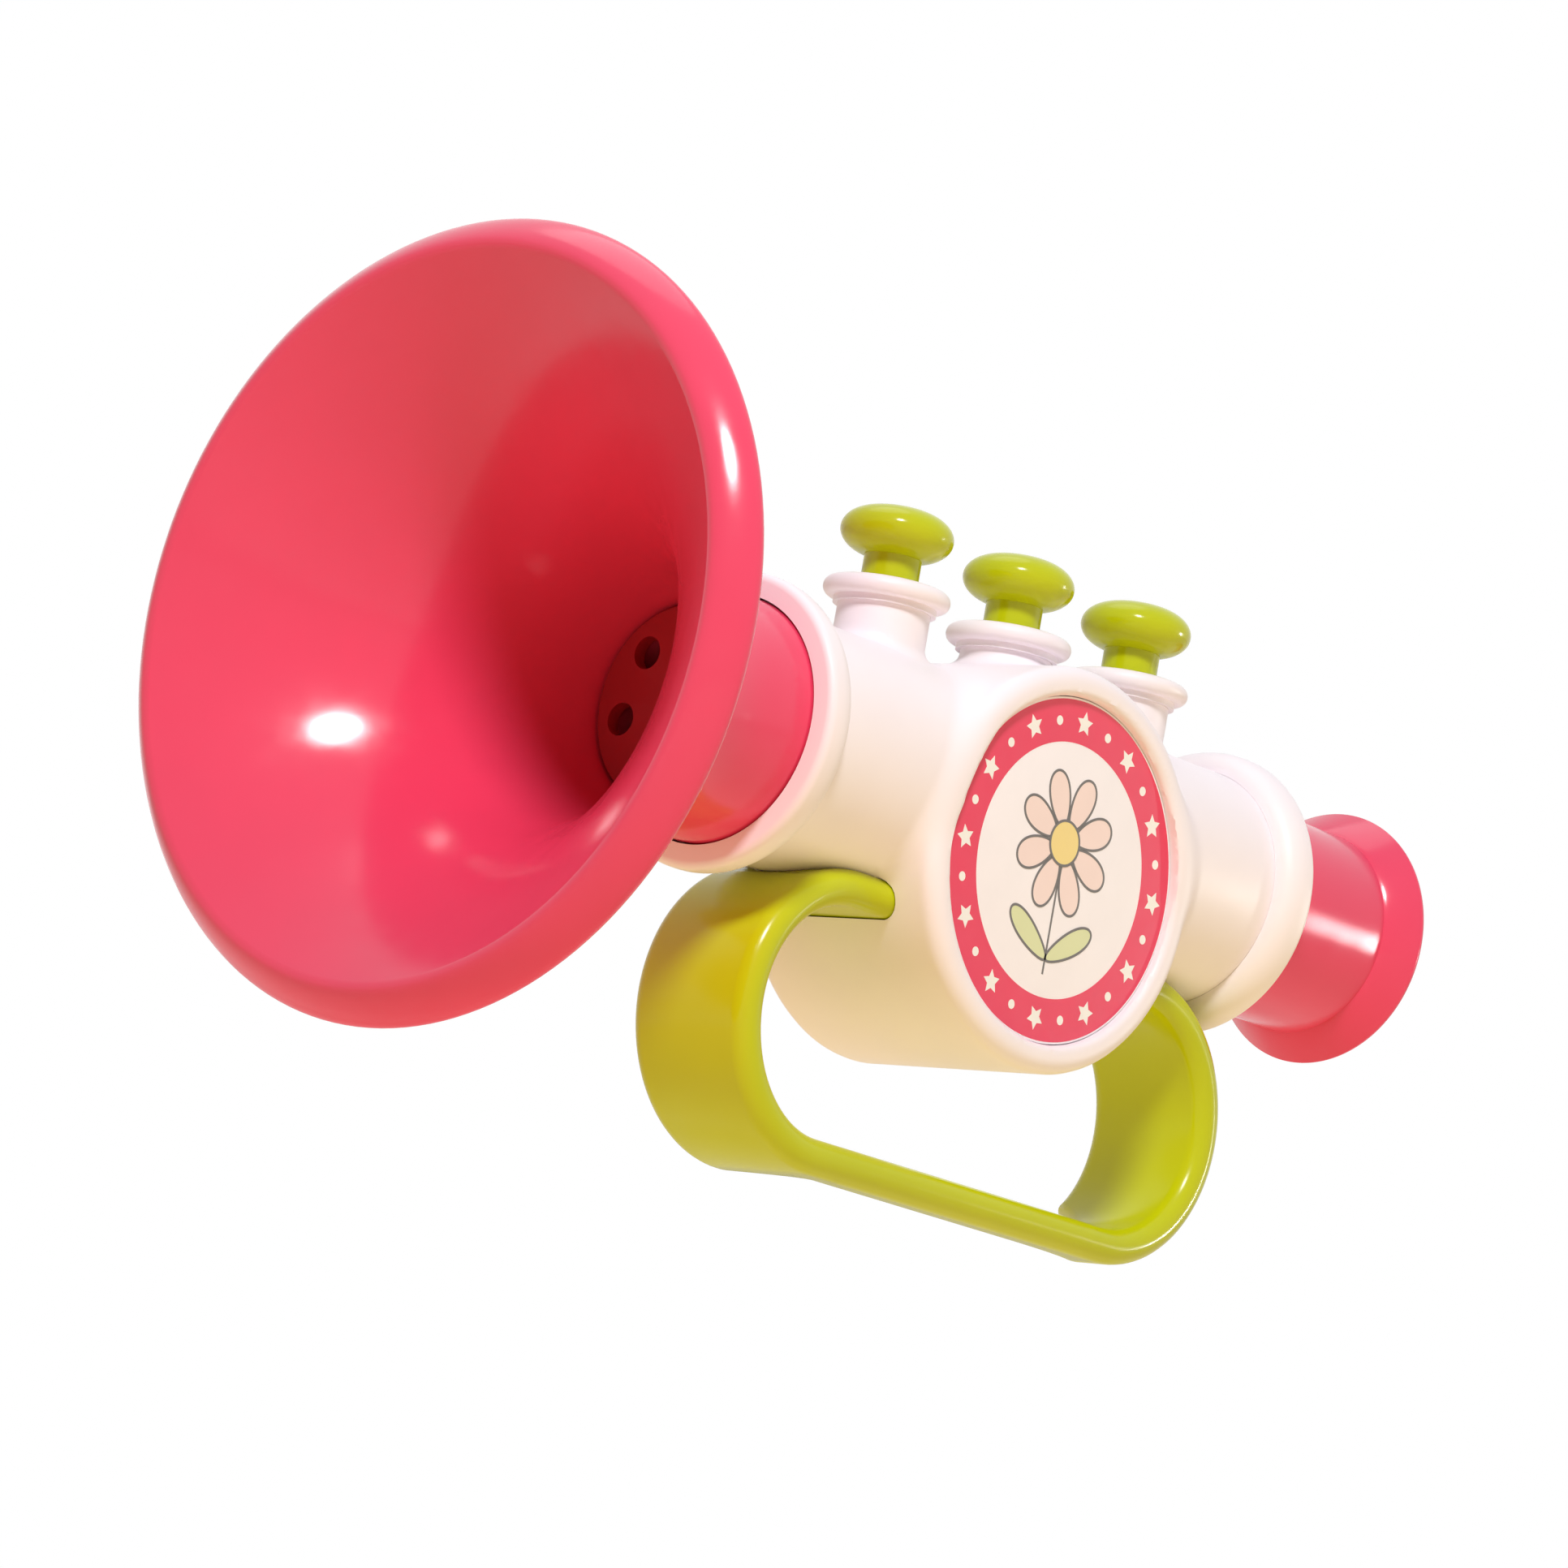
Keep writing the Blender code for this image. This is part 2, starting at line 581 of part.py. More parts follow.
def make_rear_cover():
    cover = turned_part("rear_cover", rod_profile(COVER_RADIUS, COVER_INNER_FACE, COVER_OUTER_FACE), False,
                        "Y", (0.0, 0.0, DRUM_Z), BODY_FACETS, plastic(CREAM))
    holes = [hole(f"cover_hole_{number}", COVER_SCREW_RADIUS + FIT, COVER_INNER_FACE - OVERCUT,
                  COVER_OUTER_FACE + OVERCUT, "Y", (x, 0.0, z))
             for number, (x, z) in enumerate(POST_PLACES, start=1)]
    cut(cover, holes)


def make_front_label():
    low = -LABEL_FACE
    profile = rod_profile(COVER_RADIUS, low, low + LABEL_THICKNESS)
    turned_part("front_label", profile, False, "Y", (0.0, 0.0, DRUM_Z), BODY_FACETS, plastic(PAPER))


def screw_profile(head, head_height, shank, seat, reach):
    """A screw whose head sits on the seat, head up, with its shank going down by its reach."""
    return [(0.0, seat + head_height), (head, seat + head_height), (head, seat), (shank, seat),
            (shank, seat - reach), (0.0, seat - reach)]


def make_cover_screws():
    reach = COVER_THICKNESS + COVER_SCREW_GRIP
    profile = screw_profile(COVER_SCREW_HEAD, COVER_SCREW_HEAD_HEIGHT, COVER_SCREW_RADIUS,
                            COVER_OUTER_FACE + SEAT, reach)
    for number, (x, z) in enumerate(POST_PLACES, start=1):
        turned_part(f"cover_screw_{number}", profile, False, "Y", (x, 0.0, z), HOLE_FACETS, metal(STEEL))


def make_valve_caps():
    edge = VALVE_CAP_HEIGHT / 2
    points = arc((VALVE_CAP_RADIUS - edge, CAP_TOP_Z - edge), edge, 90.0, -90.0, 2 * EDGE_STEPS)
    points += [(SLEEVE_RADIUS + FIT, CAP_BOTTOM_Z), (SLEEVE_RADIUS + FIT, CAP_WEB_Z),
               (STEM_RADIUS + FIT, CAP_WEB_Z), (STEM_RADIUS + FIT, CAP_TOP_Z)]
    for number, x in enumerate(VALVE_PLACES, start=1):
        turned_part(f"valve_cap_{number}", points, True, "Z", (x, 0.0, 0.0), BUTTON_FACETS, plastic(CREAM))


# Buttons


def button_head():
    """The mushroom's outline from its top centre to the last step outside the stem."""
    middle = BUTTON_BOTTOM_Z + BUTTON_HEIGHT / 2
    points = [(0.0, BUTTON_BOTTOM_Z + BUTTON_HEIGHT)]
    for step in range(1, BUTTON_HEAD_STEPS - 1):
        angle = math.radians(90.0 - 180.0 * step / BUTTON_HEAD_STEPS)
        radius = BUTTON_RADIUS * math.cos(angle) ** BUTTON_HEAD_FULLNESS
        points.append((radius, middle + BUTTON_HEIGHT / 2 * math.sin(angle)))
    return points


def make_buttons():
    screw_hole = PAD_SCREW_RADIUS + FIT
    points = button_head()
    points += [(STEM_RADIUS, BUTTON_BOTTOM_Z), (STEM_RADIUS, FOOT_TOP_Z), (FOOT_RADIUS, FOOT_TOP_Z),
               (FOOT_RADIUS, FOOT_BOTTOM_Z), (ROD_RADIUS, FOOT_BOTTOM_Z), (ROD_RADIUS, ROD_BOTTOM_Z),
               (screw_hole, ROD_BOTTOM_Z), (screw_hole, ROD_HOLE_TOP_Z), (0.0, ROD_HOLE_TOP_Z)]
    for number, x in enumerate(VALVE_PLACES, start=1):
        turned_part(f"button_{number}", points, False, "Z", (x, 0.0, 0.0), BUTTON_FACETS, plastic(GREEN))


def make_springs():
    low = DECK_TOP_Z + SEAT + SPRING_WIRE_RADIUS
    high = FOOT_BOTTOM_Z - SEAT - SPRING_WIRE_RADIUS
    count = SPRING_TURNS * SPRING_POINTS_PER_TURN
    for number, x in enumerate(VALVE_PLACES, start=1):
        name = f"button_spring_{number}"
        curve = bpy.data.curves.new(name, "CURVE")
        curve.dimensions = "3D"
        curve.bevel_depth = SPRING_WIRE_RADIUS
        curve.bevel_resolution = 2
        curve.use_fill_caps = True
        coil = curve.splines.new("POLY")
        coil.points.add(count)
        for step in range(count + 1):
            angle = 2 * math.pi * step / SPRING_POINTS_PER_TURN
            height = low + (high - low) * step / count
            across = SPRING_RADIUS * math.cos(angle)
            along = SPRING_RADIUS * math.sin(angle)
            coil.points[step].co = (across, along, height, 1.0)
        spring = add_part(name, curve, metal(STEEL))
        spring.location = (x, 0.0, 0.0)


def make_valve_pads():
    for number, x in enumerate(VALVE_PLACES, start=1):
        pad = box_part(f"valve_pad_{number}", (-PAD_HALF_LENGTH, -PAD_HALF_WIDTH, PAD_BOTTOM_Z),
                       (PAD_HALF_LENGTH, PAD_HALF_WIDTH, PAD_TOP_Z), rubber())
        pad.location = (x, 0.0, 0.0)
        cut(pad, [hole(f"pad_hole_{number}", PAD_SCREW_RADIUS + FIT, PAD_BOTTOM_Z - OVERCUT,
                       PAD_TOP_Z + OVERCUT, "Z", (x, 0.0, 0.0))])


def make_pad_screws():
    """Screws driven up from below, so the profile is turned head down."""
    upright = screw_profile(PAD_SCREW_HEAD, PAD_SCREW_HEAD_HEIGHT, PAD_SCREW_RADIUS, 0.0,
                            SEAT + PAD_THICKNESS + PAD_SCREW_GRIP)
    seat = PAD_BOTTOM_Z - SEAT
    points = [(radius, seat - height) for radius, height in reversed(upright)]
    for number, x in enumerate(VALVE_PLACES, start=1):
        turned_part(f"pad_screw_{number}", points, False, "Z", (x, 0.0, 0.0), HOLE_FACETS, metal(STEEL))


# Air chest


def make_air_chest():
    inner_width = CHEST_HALF_WIDTH - CHEST_WALL
    inner_length = CHEST_HALF_LENGTH - CHEST_WALL
    chest = box_part("air_chest", (-CHEST_HALF_LENGTH, -CHEST_HALF_WIDTH, CHEST_BOTTOM_Z),
                     (CHEST_HALF_LENGTH, CHEST_HALF_WIDTH, CHEST_TOP_Z), plastic(CREAM))
    cut(chest, [box_cutter("chest_hollow", (-inner_length, -inner_width, CHEST_FLOOR_Z),
                           (inner_length, inner_width, CHEST_TOP_Z + OVERCUT))])
    boss_bottom = CHEST_FLOOR_Z - CHEST_WALL / 2
    boss_top = DECK_BOTTOM_Z - SEAT
    hole_bottom = boss_top - DECK_SCREW_GRIP - FIT
    bosses = []
    holes = []
    for number, (x, y) in enumerate(DECK_SCREW_PLACES, start=1):
        place = (x, y, 0.0)
        bosses.append(hole(f"deck_boss_{number}", DECK_BOSS_RADIUS, boss_bottom, boss_top, "Z", place))
        holes.append(hole(f"deck_boss_hole_{number}", DECK_SCREW_RADIUS + FIT, hole_bottom,
                          boss_top + OVERCUT, "Z", place))
    join(chest, bosses)
    holes.append(hole("inlet_hole", NOZZLE_RADIUS + FIT, inner_length - OVERCUT,
                      CHEST_HALF_LENGTH + OVERCUT, "X", (0.0, 0.0, NOZZLE_Z)))
    cut(chest, holes)


def make_chest_gasket():
    gasket = box_part("chest_gasket", (-CHEST_HALF_LENGTH, -CHEST_HALF_WIDTH, GASKET_BOTTOM_Z),
                      (CHEST_HALF_LENGTH, CHEST_HALF_WIDTH, GASKET_TOP_Z), rubber())
    inner_width = CHEST_HALF_WIDTH - CHEST_WALL
    inner_length = CHEST_HALF_LENGTH - CHEST_WALL
    cut(gasket, [box_cutter("gasket_opening", (-inner_length, -inner_width, GASKET_BOTTOM_Z - OVERCUT),
                            (inner_length, inner_width, GASKET_TOP_Z + OVERCUT))])


def reed_places():
    """For each reed: name, middle, direction along the deck, and length."""
    places = [(f"reed_{number}", Vector((x, REED_OFFSET, 0.0)), Vector((1.0, 0.0, 0.0)), REED_LENGTH)
              for number, x in enumerate(VALVE_PLACES, start=1)]
    open_middle = Vector((-DECK_SCREW_X, 0.0, 0.0))
    places.append(("open_reed", open_middle, Vector((0.0, 1.0, 0.0)), OPEN_REED_LENGTH))
    return places


def reed_screw_place(middle, along, length):
    place = middle + along * (REED_FOOT / 2 - length / 2)
    return (place.x, place.y, 0.0)


def reed_box(middle, along, start, end, half_width, low, high):
    """Corners of a box that runs along a reed from start to end, counted from the reed's middle."""
    across = Vector((abs(along.y), abs(along.x), 0.0))
    first = middle + along * start - across * half_width
    second = middle + along * end + across * half_width
    return (first.x, first.y, low), (second.x, second.y, high)


def make_reed_deck():
    deck = box_part("reed_deck", (-CHEST_HALF_LENGTH, -CHEST_HALF_WIDTH, DECK_BOTTOM_Z),
                    (CHEST_HALF_LENGTH, CHEST_HALF_WIDTH, DECK_TOP_Z), plastic(CREAM))
    low = DECK_BOTTOM_Z - OVERCUT
    high = DECK_TOP_Z + OVERCUT
    cutters = [hole(f"rod_hole_{number}", ROD_RADIUS + FIT, low, high, "Z", (x, 0.0, 0.0))
               for number, x in enumerate(VALVE_PLACES, start=1)]
    cutters += [hole(f"deck_hole_{number}", DECK_SCREW_RADIUS + FIT, low, high, "Z", (x, y, 0.0))
                for number, (x, y) in enumerate(DECK_SCREW_PLACES, start=1)]
    for name, middle, along, length in reed_places():
        slot_start = -length / 2 + REED_FOOT
        slot_end = length / 2 - REED_THICKNESS
        slot = reed_box(middle, along, slot_start, slot_end, REED_SLOT_WIDTH / 2, low, high)
        cutters.append(box_cutter(name + "_slot", *slot))
        cutters.append(hole(name + "_deck_hole", REED_SCREW_RADIUS + FIT, low, high, "Z",
                            reed_screw_place(middle, along, length)))
    cut(deck, cutters)


def make_reeds():
    for name, middle, along, length in reed_places():
        blade = reed_box(middle, along, -length / 2, length / 2, REED_WIDTH / 2, REED_BOTTOM_Z, REED_TOP_Z)
        reed = box_part(name, *blade, metal(BRASS))
        cut(reed, [hole(name + "_hole", REED_SCREW_RADIUS + FIT, REED_BOTTOM_Z - OVERCUT,
                        REED_TOP_Z + OVERCUT, "Z", reed_screw_place(middle, along, length))])


def make_deck_screws():
    profile = screw_profile(DECK_SCREW_HEAD, DECK_SCREW_HEAD_HEIGHT, DECK_SCREW_RADIUS, DECK_TOP_Z + SEAT,
                            DECK_THICKNESS + DECK_SCREW_GRIP)
    for number, (x, y) in enumerate(DECK_SCREW_PLACES, start=1):
        turned_part(f"deck_screw_{number}", profile, False, "Z", (x, y, 0.0), HOLE_FACETS, metal(STEEL))


def make_reed_screws():
    profile = screw_profile(REED_SCREW_HEAD, REED_SCREW_HEAD_HEIGHT, REED_SCREW_RADIUS, REED_TOP_Z + SEAT,
                            REED_THICKNESS + DECK_THICKNESS)
    for number, (_, middle, along, length) in enumerate(reed_places(), start=1):
        turned_part(f"reed_screw_{number}", profile, False, "Z", reed_screw_place(middle, along, length),
                    HOLE_FACETS, metal(STEEL))


# Mouthpiece end


def make_mouthpiece():
    bore = SPIGOT_RADIUS - MOUTHPIECE_WALL
    edge = MOUTHPIECE_RIM_EDGE
    cup_bottom = MOUTHPIECE_END_X - MOUTHPIECE_CUP_DEPTH
    cup_back = cup_bottom - MOUTHPIECE_WALL
    flare_end = MOUTHPIECE_END_X - edge
    flare_start = flare_end - MOUTHPIECE_FLARE_LENGTH
    rim = arc((MOUTHPIECE_RIM_RADIUS - edge, flare_end), edge, 180.0, 0.0, 2 * EDGE_STEPS)
    cup = flare((BLOW_HOLE_RADIUS, cup_bottom), rim[0], MOUTHPIECE_CUP_POWER, MOUTHPIECE_FLARE_STEPS)
    outside = flare((SPIGOT_RADIUS, flare_start), rim[-1], MOUTHPIECE_FLARE_POWER, MOUTHPIECE_FLARE_STEPS)
    outside.reverse()
    points = cup[:-1] + rim + outside[1:]
    points += [(SPIGOT_RADIUS, MOUTHPIECE_START_X), (bore, MOUTHPIECE_START_X), (bore, cup_back),
               (BLOW_HOLE_RADIUS, cup_back)]
    turned_part("mouthpiece", points, True, "X", (0.0, 0.0, AXIS_Z), BODY_FACETS, plastic(RED))


def make_mouthpiece_collar():
    low = MOUTHPIECE_COLLAR_START
    high = MOUTHPIECE_COLLAR_END
    step = TUBE_REAR_LENGTH + SEAT
    points = collar_outside(MOUTHPIECE_COLLAR_RADIUS, low, high, COLLAR_INNER_EDGE, COLLAR_OUTER_EDGE)
    points += [(TUBE_RADIUS + FIT, low), (TUBE_RADIUS + FIT, step), (SPIGOT_RADIUS + FIT, step),
               (SPIGOT_RADIUS + FIT, high)]
    turned_part("mouthpiece_collar", points, True, "X", (0.0, 0.0, AXIS_Z), BODY_FACETS, plastic(CREAM))


def make_wind_inlet():
    inlet = turned_part("wind_inlet", rod_profile(SPIGOT_RADIUS, INLET_FRONT_X, INLET_BACK_X), False, "X",
                        (0.0, 0.0, AXIS_Z), BODY_FACETS, plastic(CREAM))
    middle = (0.0, 0.0, NOZZLE_Z)
    nozzle = hole("nozzle", NOZZLE_RADIUS, NOZZLE_TIP_X, INLET_BACK_X - INLET_THICKNESS / 2, "X", middle)
    air_way = hole("nozzle_bore", NOZZLE_RADIUS - NOZZLE_WALL, NOZZLE_TIP_X - OVERCUT,
                   INLET_BACK_X + OVERCUT, "X", middle)
    join(inlet, [nozzle])
    cut(inlet, [air_way])


# Grip


def taper_width(along, taper):
    """Width of the band at a distance along the loop, full before the taper and least after it."""
    start, end = taper
    share = min(max((along - start) / (end - start), 0.0), 1.0)
    ease = 1.0 - (1.0 - share) ** TAPER_POWER
    return HANDLE_BAND_WIDTH + (HANDLE_GRIP_WIDTH - HANDLE_BAND_WIDTH) * ease


def handle_half(side, taper):
    """Half the loop from its tab to the grip: middle x and z, outward direction, and width."""
    tab_z = (TAB_TOP_Z + TAB_BOTTOM_Z) / 2
    stops = [(side * TAB_END_X, tab_z, Vector((0.0, 0.0, 1.0)), HANDLE_BAND_WIDTH)]
    for step in range(HANDLE_BEND_STEPS + 1):
        turn = math.pi * step / HANDLE_BEND_STEPS
        outward = Vector((side * math.sin(turn), 0.0, math.cos(turn)))
        along = (turn - math.pi) * HANDLE_BEND_RADIUS
        stops.append((side * HANDLE_BEND_X + HANDLE_BEND_RADIUS * outward.x,
                      HANDLE_BEND_Z + HANDLE_BEND_RADIUS * outward.z, outward, taper_width(along, taper)))
    for step in range(1, HANDLE_GRIP_STEPS + 1):
        along = taper[1] * step / HANDLE_GRIP_STEPS
        stops.append((side * (HANDLE_BEND_X - along), HANDLE_THICKNESS / 2, Vector((0.0, 0.0, -1.0)),
                      taper_width(along, taper)))
    return stops


def band_section(width):
    """Across and outward offsets round the band, its front edge in one plane and its edges full round."""
    edge = HANDLE_THICKNESS / 2
    front = -HANDLE_BAND_WIDTH / 2 + edge
    back = front + width - 2 * edge
    points = arc((back, 0.0), edge, -90.0, 90.0, HANDLE_EDGE_STEPS)
    points += arc((front, 0.0), edge, 90.0, 270.0, HANDLE_EDGE_STEPS)
    return points


def make_handle():
    shape = bmesh.new()
    rings = []
    stops = handle_half(-1, FRONT_TAPER) + handle_half(1, REAR_TAPER)[::-1]
    for x, z, outward, width in stops:
        ring = []
        for across, out in band_section(width):
            ring.append(shape.verts.new(Vector((x, across, z)) + outward * out))
        rings.append(ring)
    for first, second in zip(rings, rings[1:]):
        for i in range(len(first)):
            k = (i + 1) % len(first)
            shape.faces.new((first[i], first[k], second[k], second[i]))
    shape.faces.new(reversed(rings[0]))
    shape.faces.new(rings[-1])
    bmesh.ops.recalc_face_normals(shape, faces=shape.faces)
    for face in shape.faces:
        face.smooth = True
    mesh = bpy.data.meshes.new("handle")
    shape.to_mesh(mesh)
    shape.free()
    handle = add_part("handle", mesh, plastic(GREEN))
    bell_collar = collar_space("bell_collar_space", BELL_COLLAR_RADIUS, BELL_COLLAR_START, BELL_COLLAR_END,
                               COLLAR_OUTER_EDGE, COLLAR_INNER_EDGE)
    mouthpiece_collar = collar_space("mouthpiece_collar_space", MOUTHPIECE_COLLAR_RADIUS,
                                     MOUTHPIECE_COLLAR_START, MOUTHPIECE_COLLAR_END, COLLAR_INNER_EDGE,
                                     COLLAR_OUTER_EDGE)
    cut(handle, [handle_saddle(-1), handle_saddle(1), pin_hole(-1), pin_hole(1), bell_collar,
                 mouthpiece_collar])


def handle_saddle(side):
    """The trough on the handle's shoulder that the tube lies in."""
    name = "saddle_front" if side < 0 else "saddle_rear"
    ends = sorted((side * SADDLE_START_X, side * (HANDLE_HALF_LENGTH + OVERCUT)))
    return hole(name, TUBE_RADIUS + FIT, ends[0], ends[1], "X", (0.0, 0.0, AXIS_Z), BODY_FACETS)


def collar_space(name, radius, low, high, low_edge, high_edge):
    """Room for a collar, clear of it all round, so that a longer handle goes under it."""
    outside = collar_outside(radius + FIT, low - FIT, high + FIT, low_edge + FIT, high_edge + FIT)
    points = [(0.0, high + FIT)] + outside + [(0.0, low - FIT)]
    return turned_cutter(name, points, "X", (0.0, 0.0, AXIS_Z), BODY_FACETS)


def pin_hole(side):
    name = "pin_hole_front" if side < 0 else "pin_hole_rear"
    reach = HANDLE_BAND_WIDTH / 2 + OVERCUT
    return hole(name, HANDLE_PIN_RADIUS + FIT, -reach, reach, "Y", (side * PIN_X, 0.0, PIN_Z))


def make_handle_pins():
    reach = HANDLE_BAND_WIDTH / 2 + HANDLE_PIN_OVERHANG
    for name, side in (("handle_pin_front", -1), ("handle_pin_rear", 1)):
        turned_part(name, rod_profile(HANDLE_PIN_RADIUS, -reach, reach), False, "Y",
                    (side * PIN_X, 0.0, PIN_Z), HOLE_FACETS, metal(STEEL))


def add_collection(name):
    collection = bpy.data.collections.new(name)
    bpy.context.scene.collection.children.link(collection)
    return collection


for old in list(bpy.data.objects):
    bpy.data.objects.remove(old, do_unlink=True)

PARTS = add_collection("toy_trumpet")
CUTTERS = add_collection("cutters")

make_bell()
make_bell_grille()
make_bell_collar()
make_body_shell()
make_front_cover()
make_rear_cover()
make_front_label()
make_cover_screws()
make_valve_caps()
make_buttons()
make_springs()
make_valve_pads()
make_pad_screws()
make_air_chest()
make_chest_gasket()
make_reed_deck()
make_reeds()
make_deck_screws()
make_reed_screws()
make_mouthpiece()
make_mouthpiece_collar()
make_wind_inlet()
make_handle()
make_handle_pins()

for thing in bpy.data.objects:
    thing.location.x -= LENGTH_MIDDLE_X
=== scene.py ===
# Toy trumpet: the looks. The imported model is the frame; this script dresses it, lights it and sets the view.
# Lengths are in metres and angles in degrees.
# +X runs from the bell to the mouthpiece, +Z is up, and the label faces -Y.
# Most pieces are drawn from the middle button's axis, and sit at MIDDLE_X.

import math

import bmesh
import bpy
import numpy as np
from mathutils import Matrix, Vector


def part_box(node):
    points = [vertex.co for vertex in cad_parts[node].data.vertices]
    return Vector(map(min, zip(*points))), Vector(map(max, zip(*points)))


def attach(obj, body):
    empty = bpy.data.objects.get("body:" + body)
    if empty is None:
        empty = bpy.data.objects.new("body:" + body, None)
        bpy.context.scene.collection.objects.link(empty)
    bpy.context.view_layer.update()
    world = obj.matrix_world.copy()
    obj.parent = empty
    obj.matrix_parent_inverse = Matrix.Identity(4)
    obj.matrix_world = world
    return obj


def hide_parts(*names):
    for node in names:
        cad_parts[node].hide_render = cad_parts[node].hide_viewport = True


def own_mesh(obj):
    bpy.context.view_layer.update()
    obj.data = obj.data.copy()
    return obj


MM = 0.001

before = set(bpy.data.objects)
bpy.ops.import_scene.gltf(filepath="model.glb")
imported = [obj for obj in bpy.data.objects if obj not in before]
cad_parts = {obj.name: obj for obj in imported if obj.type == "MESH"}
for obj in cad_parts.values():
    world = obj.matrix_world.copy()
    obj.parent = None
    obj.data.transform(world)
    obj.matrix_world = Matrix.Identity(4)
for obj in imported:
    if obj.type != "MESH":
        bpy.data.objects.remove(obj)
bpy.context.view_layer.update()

# Places read from the frame
BELL_LOW, BELL_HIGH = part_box("bell")
CAP_LOW, CAP_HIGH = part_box("valve_cap_2")
BUTTON_LOW, BUTTON_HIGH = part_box("button_2")
SPRING_LOW, SPRING_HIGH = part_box("button_spring_2")
GRILLE_LOW, GRILLE_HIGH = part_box("bell_grille")
LABEL_LOW, LABEL_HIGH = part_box("front_label")
COVER_LOW, COVER_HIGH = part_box("rear_cover")
HANDLE_LOW, HANDLE_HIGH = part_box("handle")
MOUTHPIECE_LOW, MOUTHPIECE_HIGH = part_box("mouthpiece")
BELL_COLLAR_LOW, BELL_COLLAR_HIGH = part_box("bell_collar")
MOUTHPIECE_COLLAR_LOW, MOUTHPIECE_COLLAR_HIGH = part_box("mouthpiece_collar")
BODY_LOW, BODY_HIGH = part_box("body_shell")
SCREW_COUNT = 4
SCREW_BOXES = [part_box(f"cover_screw_{number}") for number in range(1, SCREW_COUNT + 1)]

MIDDLE_X = (CAP_LOW.x + CAP_HIGH.x) / 2
AXIS_Z = (BELL_LOW.z + BELL_HIGH.z) / 2
DRUM_Z = (COVER_LOW.z + COVER_HIGH.z) / 2
VALVE_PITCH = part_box("valve_cap_3")[0].x - CAP_LOW.x
VALVE_PLACES = (-VALVE_PITCH, 0.0, VALVE_PITCH)

# Steps that make the curves round
TURN_STEPS = 160
SMALL_TURN_STEPS = 72
CURVE_STEPS = 28
EDGE_STEPS = 10
FINE_EDGE_STEPS = 4
SHARP_ANGLE = math.radians(38.0)
ON_AXIS_RADIUS = 1e-9

# Gaps between pieces
FIT = 0.3 * MM
COLLAR_GAP = 0.04 * MM
STEM_GAP = 0.3 * MM
SEAT = 0.1 * MM

# Bell
LIP_RADIUS = (BELL_HIGH.z - BELL_LOW.z) / 2
LIP_FRONT_X = BELL_LOW.x - MIDDLE_X
LIP_SET_BACK = 3.9 * MM
LIP_ROUND = 1.2 * MM
LIP_FULLNESS = 0.3
LIP_START = 54.0
LIP_END = -123.0
CREST_RADIUS = 41.4 * MM
CREST_ROUND = 1.6 * MM
BELL_WALL = 2.2 * MM
NECK_RADIUS = 14.2 * MM
NECK_LENGTH = 8.4 * MM
SPIGOT_LENGTH = 8.5 * MM
SPIGOT_RADIUS = 12.5 * MM
SPIGOT_WALL = 2.1 * MM
FLARE_POWER = 2.2
BORE_BEND = 0.6
SHOULDER_X = BELL_HIGH.x - MIDDLE_X - SPIGOT_LENGTH
GRILLE_HOLES = 6
GRILLE_HOLE_RADIUS = 1.9 * MM
GRILLE_HOLE_RING = 8.0 * MM
GRILLE_FIRST_HOLE = -13.5
GRILLE_EDGE = 0.3 * MM

# Body
TUBE_RADIUS = 14.4 * MM
TUBE_BORE = 12.8 * MM
DRUM_RADIUS = 23.5 * MM
DRUM_HALF_DEPTH = 14.7 * MM
DRUM_EDGE = 2.0 * MM
DRUM_RECESS_RADIUS = 20.1 * MM
DRUM_LEDGE_RADIUS = 18.5 * MM
DRUM_BORE = 21.7 * MM
DRUM_LEDGE_FACE = 11.7 * MM
DRUM_LEDGE_BACK = 10.2 * MM
RECESS_ROUND = 0.9 * MM
SLEEVE_RADIUS = 5.4 * MM
SLEEVE_BORE = 4.4 * MM
DECK_TOP_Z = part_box("reed_deck")[1].z
DRUM_FILLET = 2.2 * MM
SLEEVE_FILLET = 1.2 * MM

# Grid that the body is meshed on
FIELD_CELL = 0.6 * MM
FIELD_MARGIN = 1.5 * MM
SLOPE_REACH = FIELD_CELL / 40
LEAST_SLOPE = 1e-12
CROSSING_STEPS = 12
CREASE_SOFTNESS = 0.01

# Collars, caps and buttons; an edge's two roundings are across the axis and along it
COLLAR_OUTER_EDGE = (1.0 * MM, 1.0 * MM)
COLLAR_INNER_EDGE = (2.2 * MM, 3.0 * MM)
BELL_COLLAR_RADIUS = 17.25 * MM
MOUTHPIECE_COLLAR_RADIUS = 17.15 * MM
CAP_RADIUS = 7.4 * MM
CAP_WEB = 1.2 * MM
CAP_FLANGE = 2.2 * MM
CAP_SKIRT_RADIUS = 6.0 * MM
BUTTON_RADIUS = 6.6 * MM
BUTTON_HEIGHT = 6.2 * MM
BUTTON_FULLNESS = 0.75
STEM_RADIUS = 3.35 * MM
FOOT_RADIUS = 4.1 * MM
FOOT_HEIGHT = 1.4 * MM
ROD_RADIUS = 1.4 * MM
ROD_HOLE_RADIUS = 0.9 * MM
ROD_HOLE_DEPTH = 3.3 * MM
SPRING_RADIUS = 2.65 * MM
SPRING_WIRE = 0.35 * MM
SPRING_TURNS = 5
SPRING_STEPS = 28
WIRE_STEPS = 10

